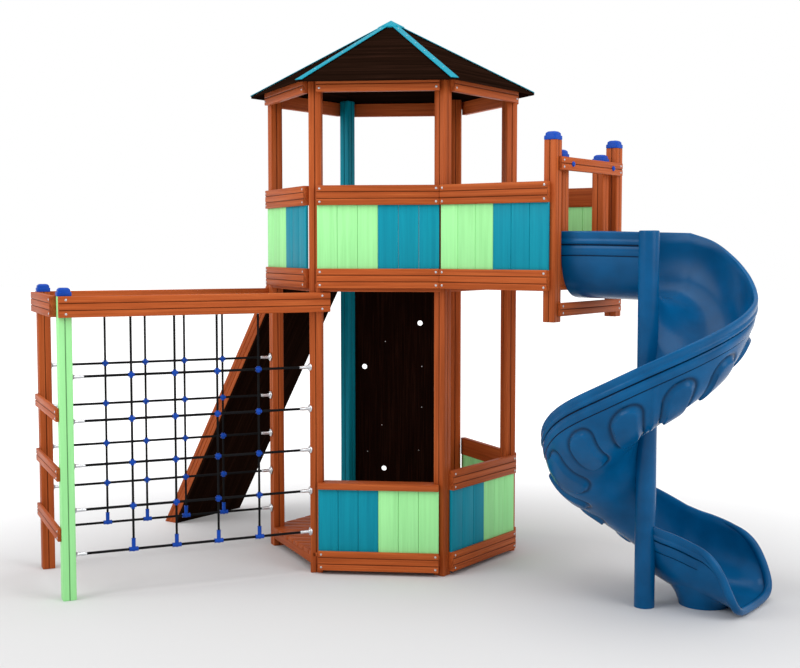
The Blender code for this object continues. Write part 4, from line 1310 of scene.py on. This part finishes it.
piece("slideTroughMoulded", (troughShape(), footShape(), lipShape()), slidePlastic,
      ["slide_trough_upper", "slide_trough_lower"], slide["azimuth"], 60)
pole = moved(poleShape(), (slide["poleLateral"], -slide["poleAlong"], 0))
piece("slidePoleMoulded", [pole], slidePlastic, ["slide_pole"], slide["azimuth"])
print("slide made")

# Stage, lights and camera.
stage = {
    "reach": 60.0,
    "nearShade": "#D8D8D9",
    "farShade": "#FFFFFF",
    "fadeMiddle": (0.2, -2.2, 0.0),
    "fadeFrom": 3.2,
    "fadeTo": 8.0,
    "wallLight": 0.70,
    "farGlow": 0.75,
    "under": 0.0005,
}


floorMesh = bpy.data.meshes.new("studioFloor")
r, under = stage["reach"], -stage["under"]
floorMesh.from_pydata([(-r, -r, under), (r, -r, under), (r, r, under), (-r, r, under)], [], [(0, 1, 2, 3)])
studioFloor = intoScene("studioFloor", floorMesh)


def floorLook():
    # matt white paper, which glows a little further out so that it meets the background
    look, shader = newLook("studioPaper", **{"Base Color": fromHex(stage["nearShade"]), "Roughness": 0.9})
    distance = addNode(
        look, "ShaderNodeVectorMath", {0: objectPlace(look), 1: stage["fadeMiddle"]}, operation="DISTANCE"
    )
    glow = remapped(look, distance.outputs["Value"], 0, stage["farGlow"], stage["fadeFrom"], stage["fadeTo"])
    look.node_tree.links.new(glow, shader.inputs["Emission Strength"])
    shader.inputs["Emission Color"].default_value = fromHex(stage["farShade"])
    return look


floorMesh.materials.append(floorLook())

# the studio's white walls light the object less than they show behind it
world = bpy.data.worlds.new("studio")
world.use_nodes = True
walls = world.node_tree.nodes["Background"]
walls.inputs["Color"].default_value = (1, 1, 1, 1)
seen = addNode(world, "ShaderNodeLightPath").outputs["Is Camera Ray"]
strength = remapped(world, seen, stage["wallLight"], 1.0, 0.0, 1.0)
world.node_tree.links.new(strength, walls.inputs["Strength"])
bpy.context.scene.world = world
bpy.context.scene.view_settings.view_transform = "Standard"


def softLight(name, place, power, aim, size=7.0):
    lamp = bpy.data.lights.new(name, "AREA")
    lamp.shape, lamp.size, lamp.energy = "DISK", size, power
    made = intoScene(name, lamp)
    made.location = place
    made.rotation_euler = (Vector(aim) - Vector(place)).to_track_quat("-Z", "Y").to_euler()


softLight("keyLight", (-7.5, -5.5, 8.5), 430, (0, 0, 1.5))
softLight("fillLight", (7.5, -5.0, 6.5), 310, (0, 0, 1.5))
softLight("topLight", (0.5, -1.0, 9.5), 220, (0, 0, 0))

# the camera as it was solved from the photograph; its place is measured from the tower's centre
view = {"place": (1.063, -9.667, 2.363), "pitch": 3.98, "yaw": -5.87, "focalPixels": 1249.1, "width": 800}
camera = bpy.data.cameras.new("camera")
cameraObject = intoScene("camera", camera)
camera.sensor_width = 36
camera.lens = view["focalPixels"] * camera.sensor_width / view["width"]
camera.clip_end = 200
pitch, yaw = math.radians(view["pitch"]), math.radians(view["yaw"])
ahead = Vector((math.sin(yaw) * math.cos(pitch), math.cos(yaw) * math.cos(pitch), -math.sin(pitch)))
cameraObject.location = Vector(view["place"]) + Vector((*towerCentre, 0))
cameraObject.rotation_euler = ahead.to_track_quat("-Z", "Y").to_euler()
bpy.context.scene.camera = cameraObject

bpy.context.view_layer.update()
print("scene ready")
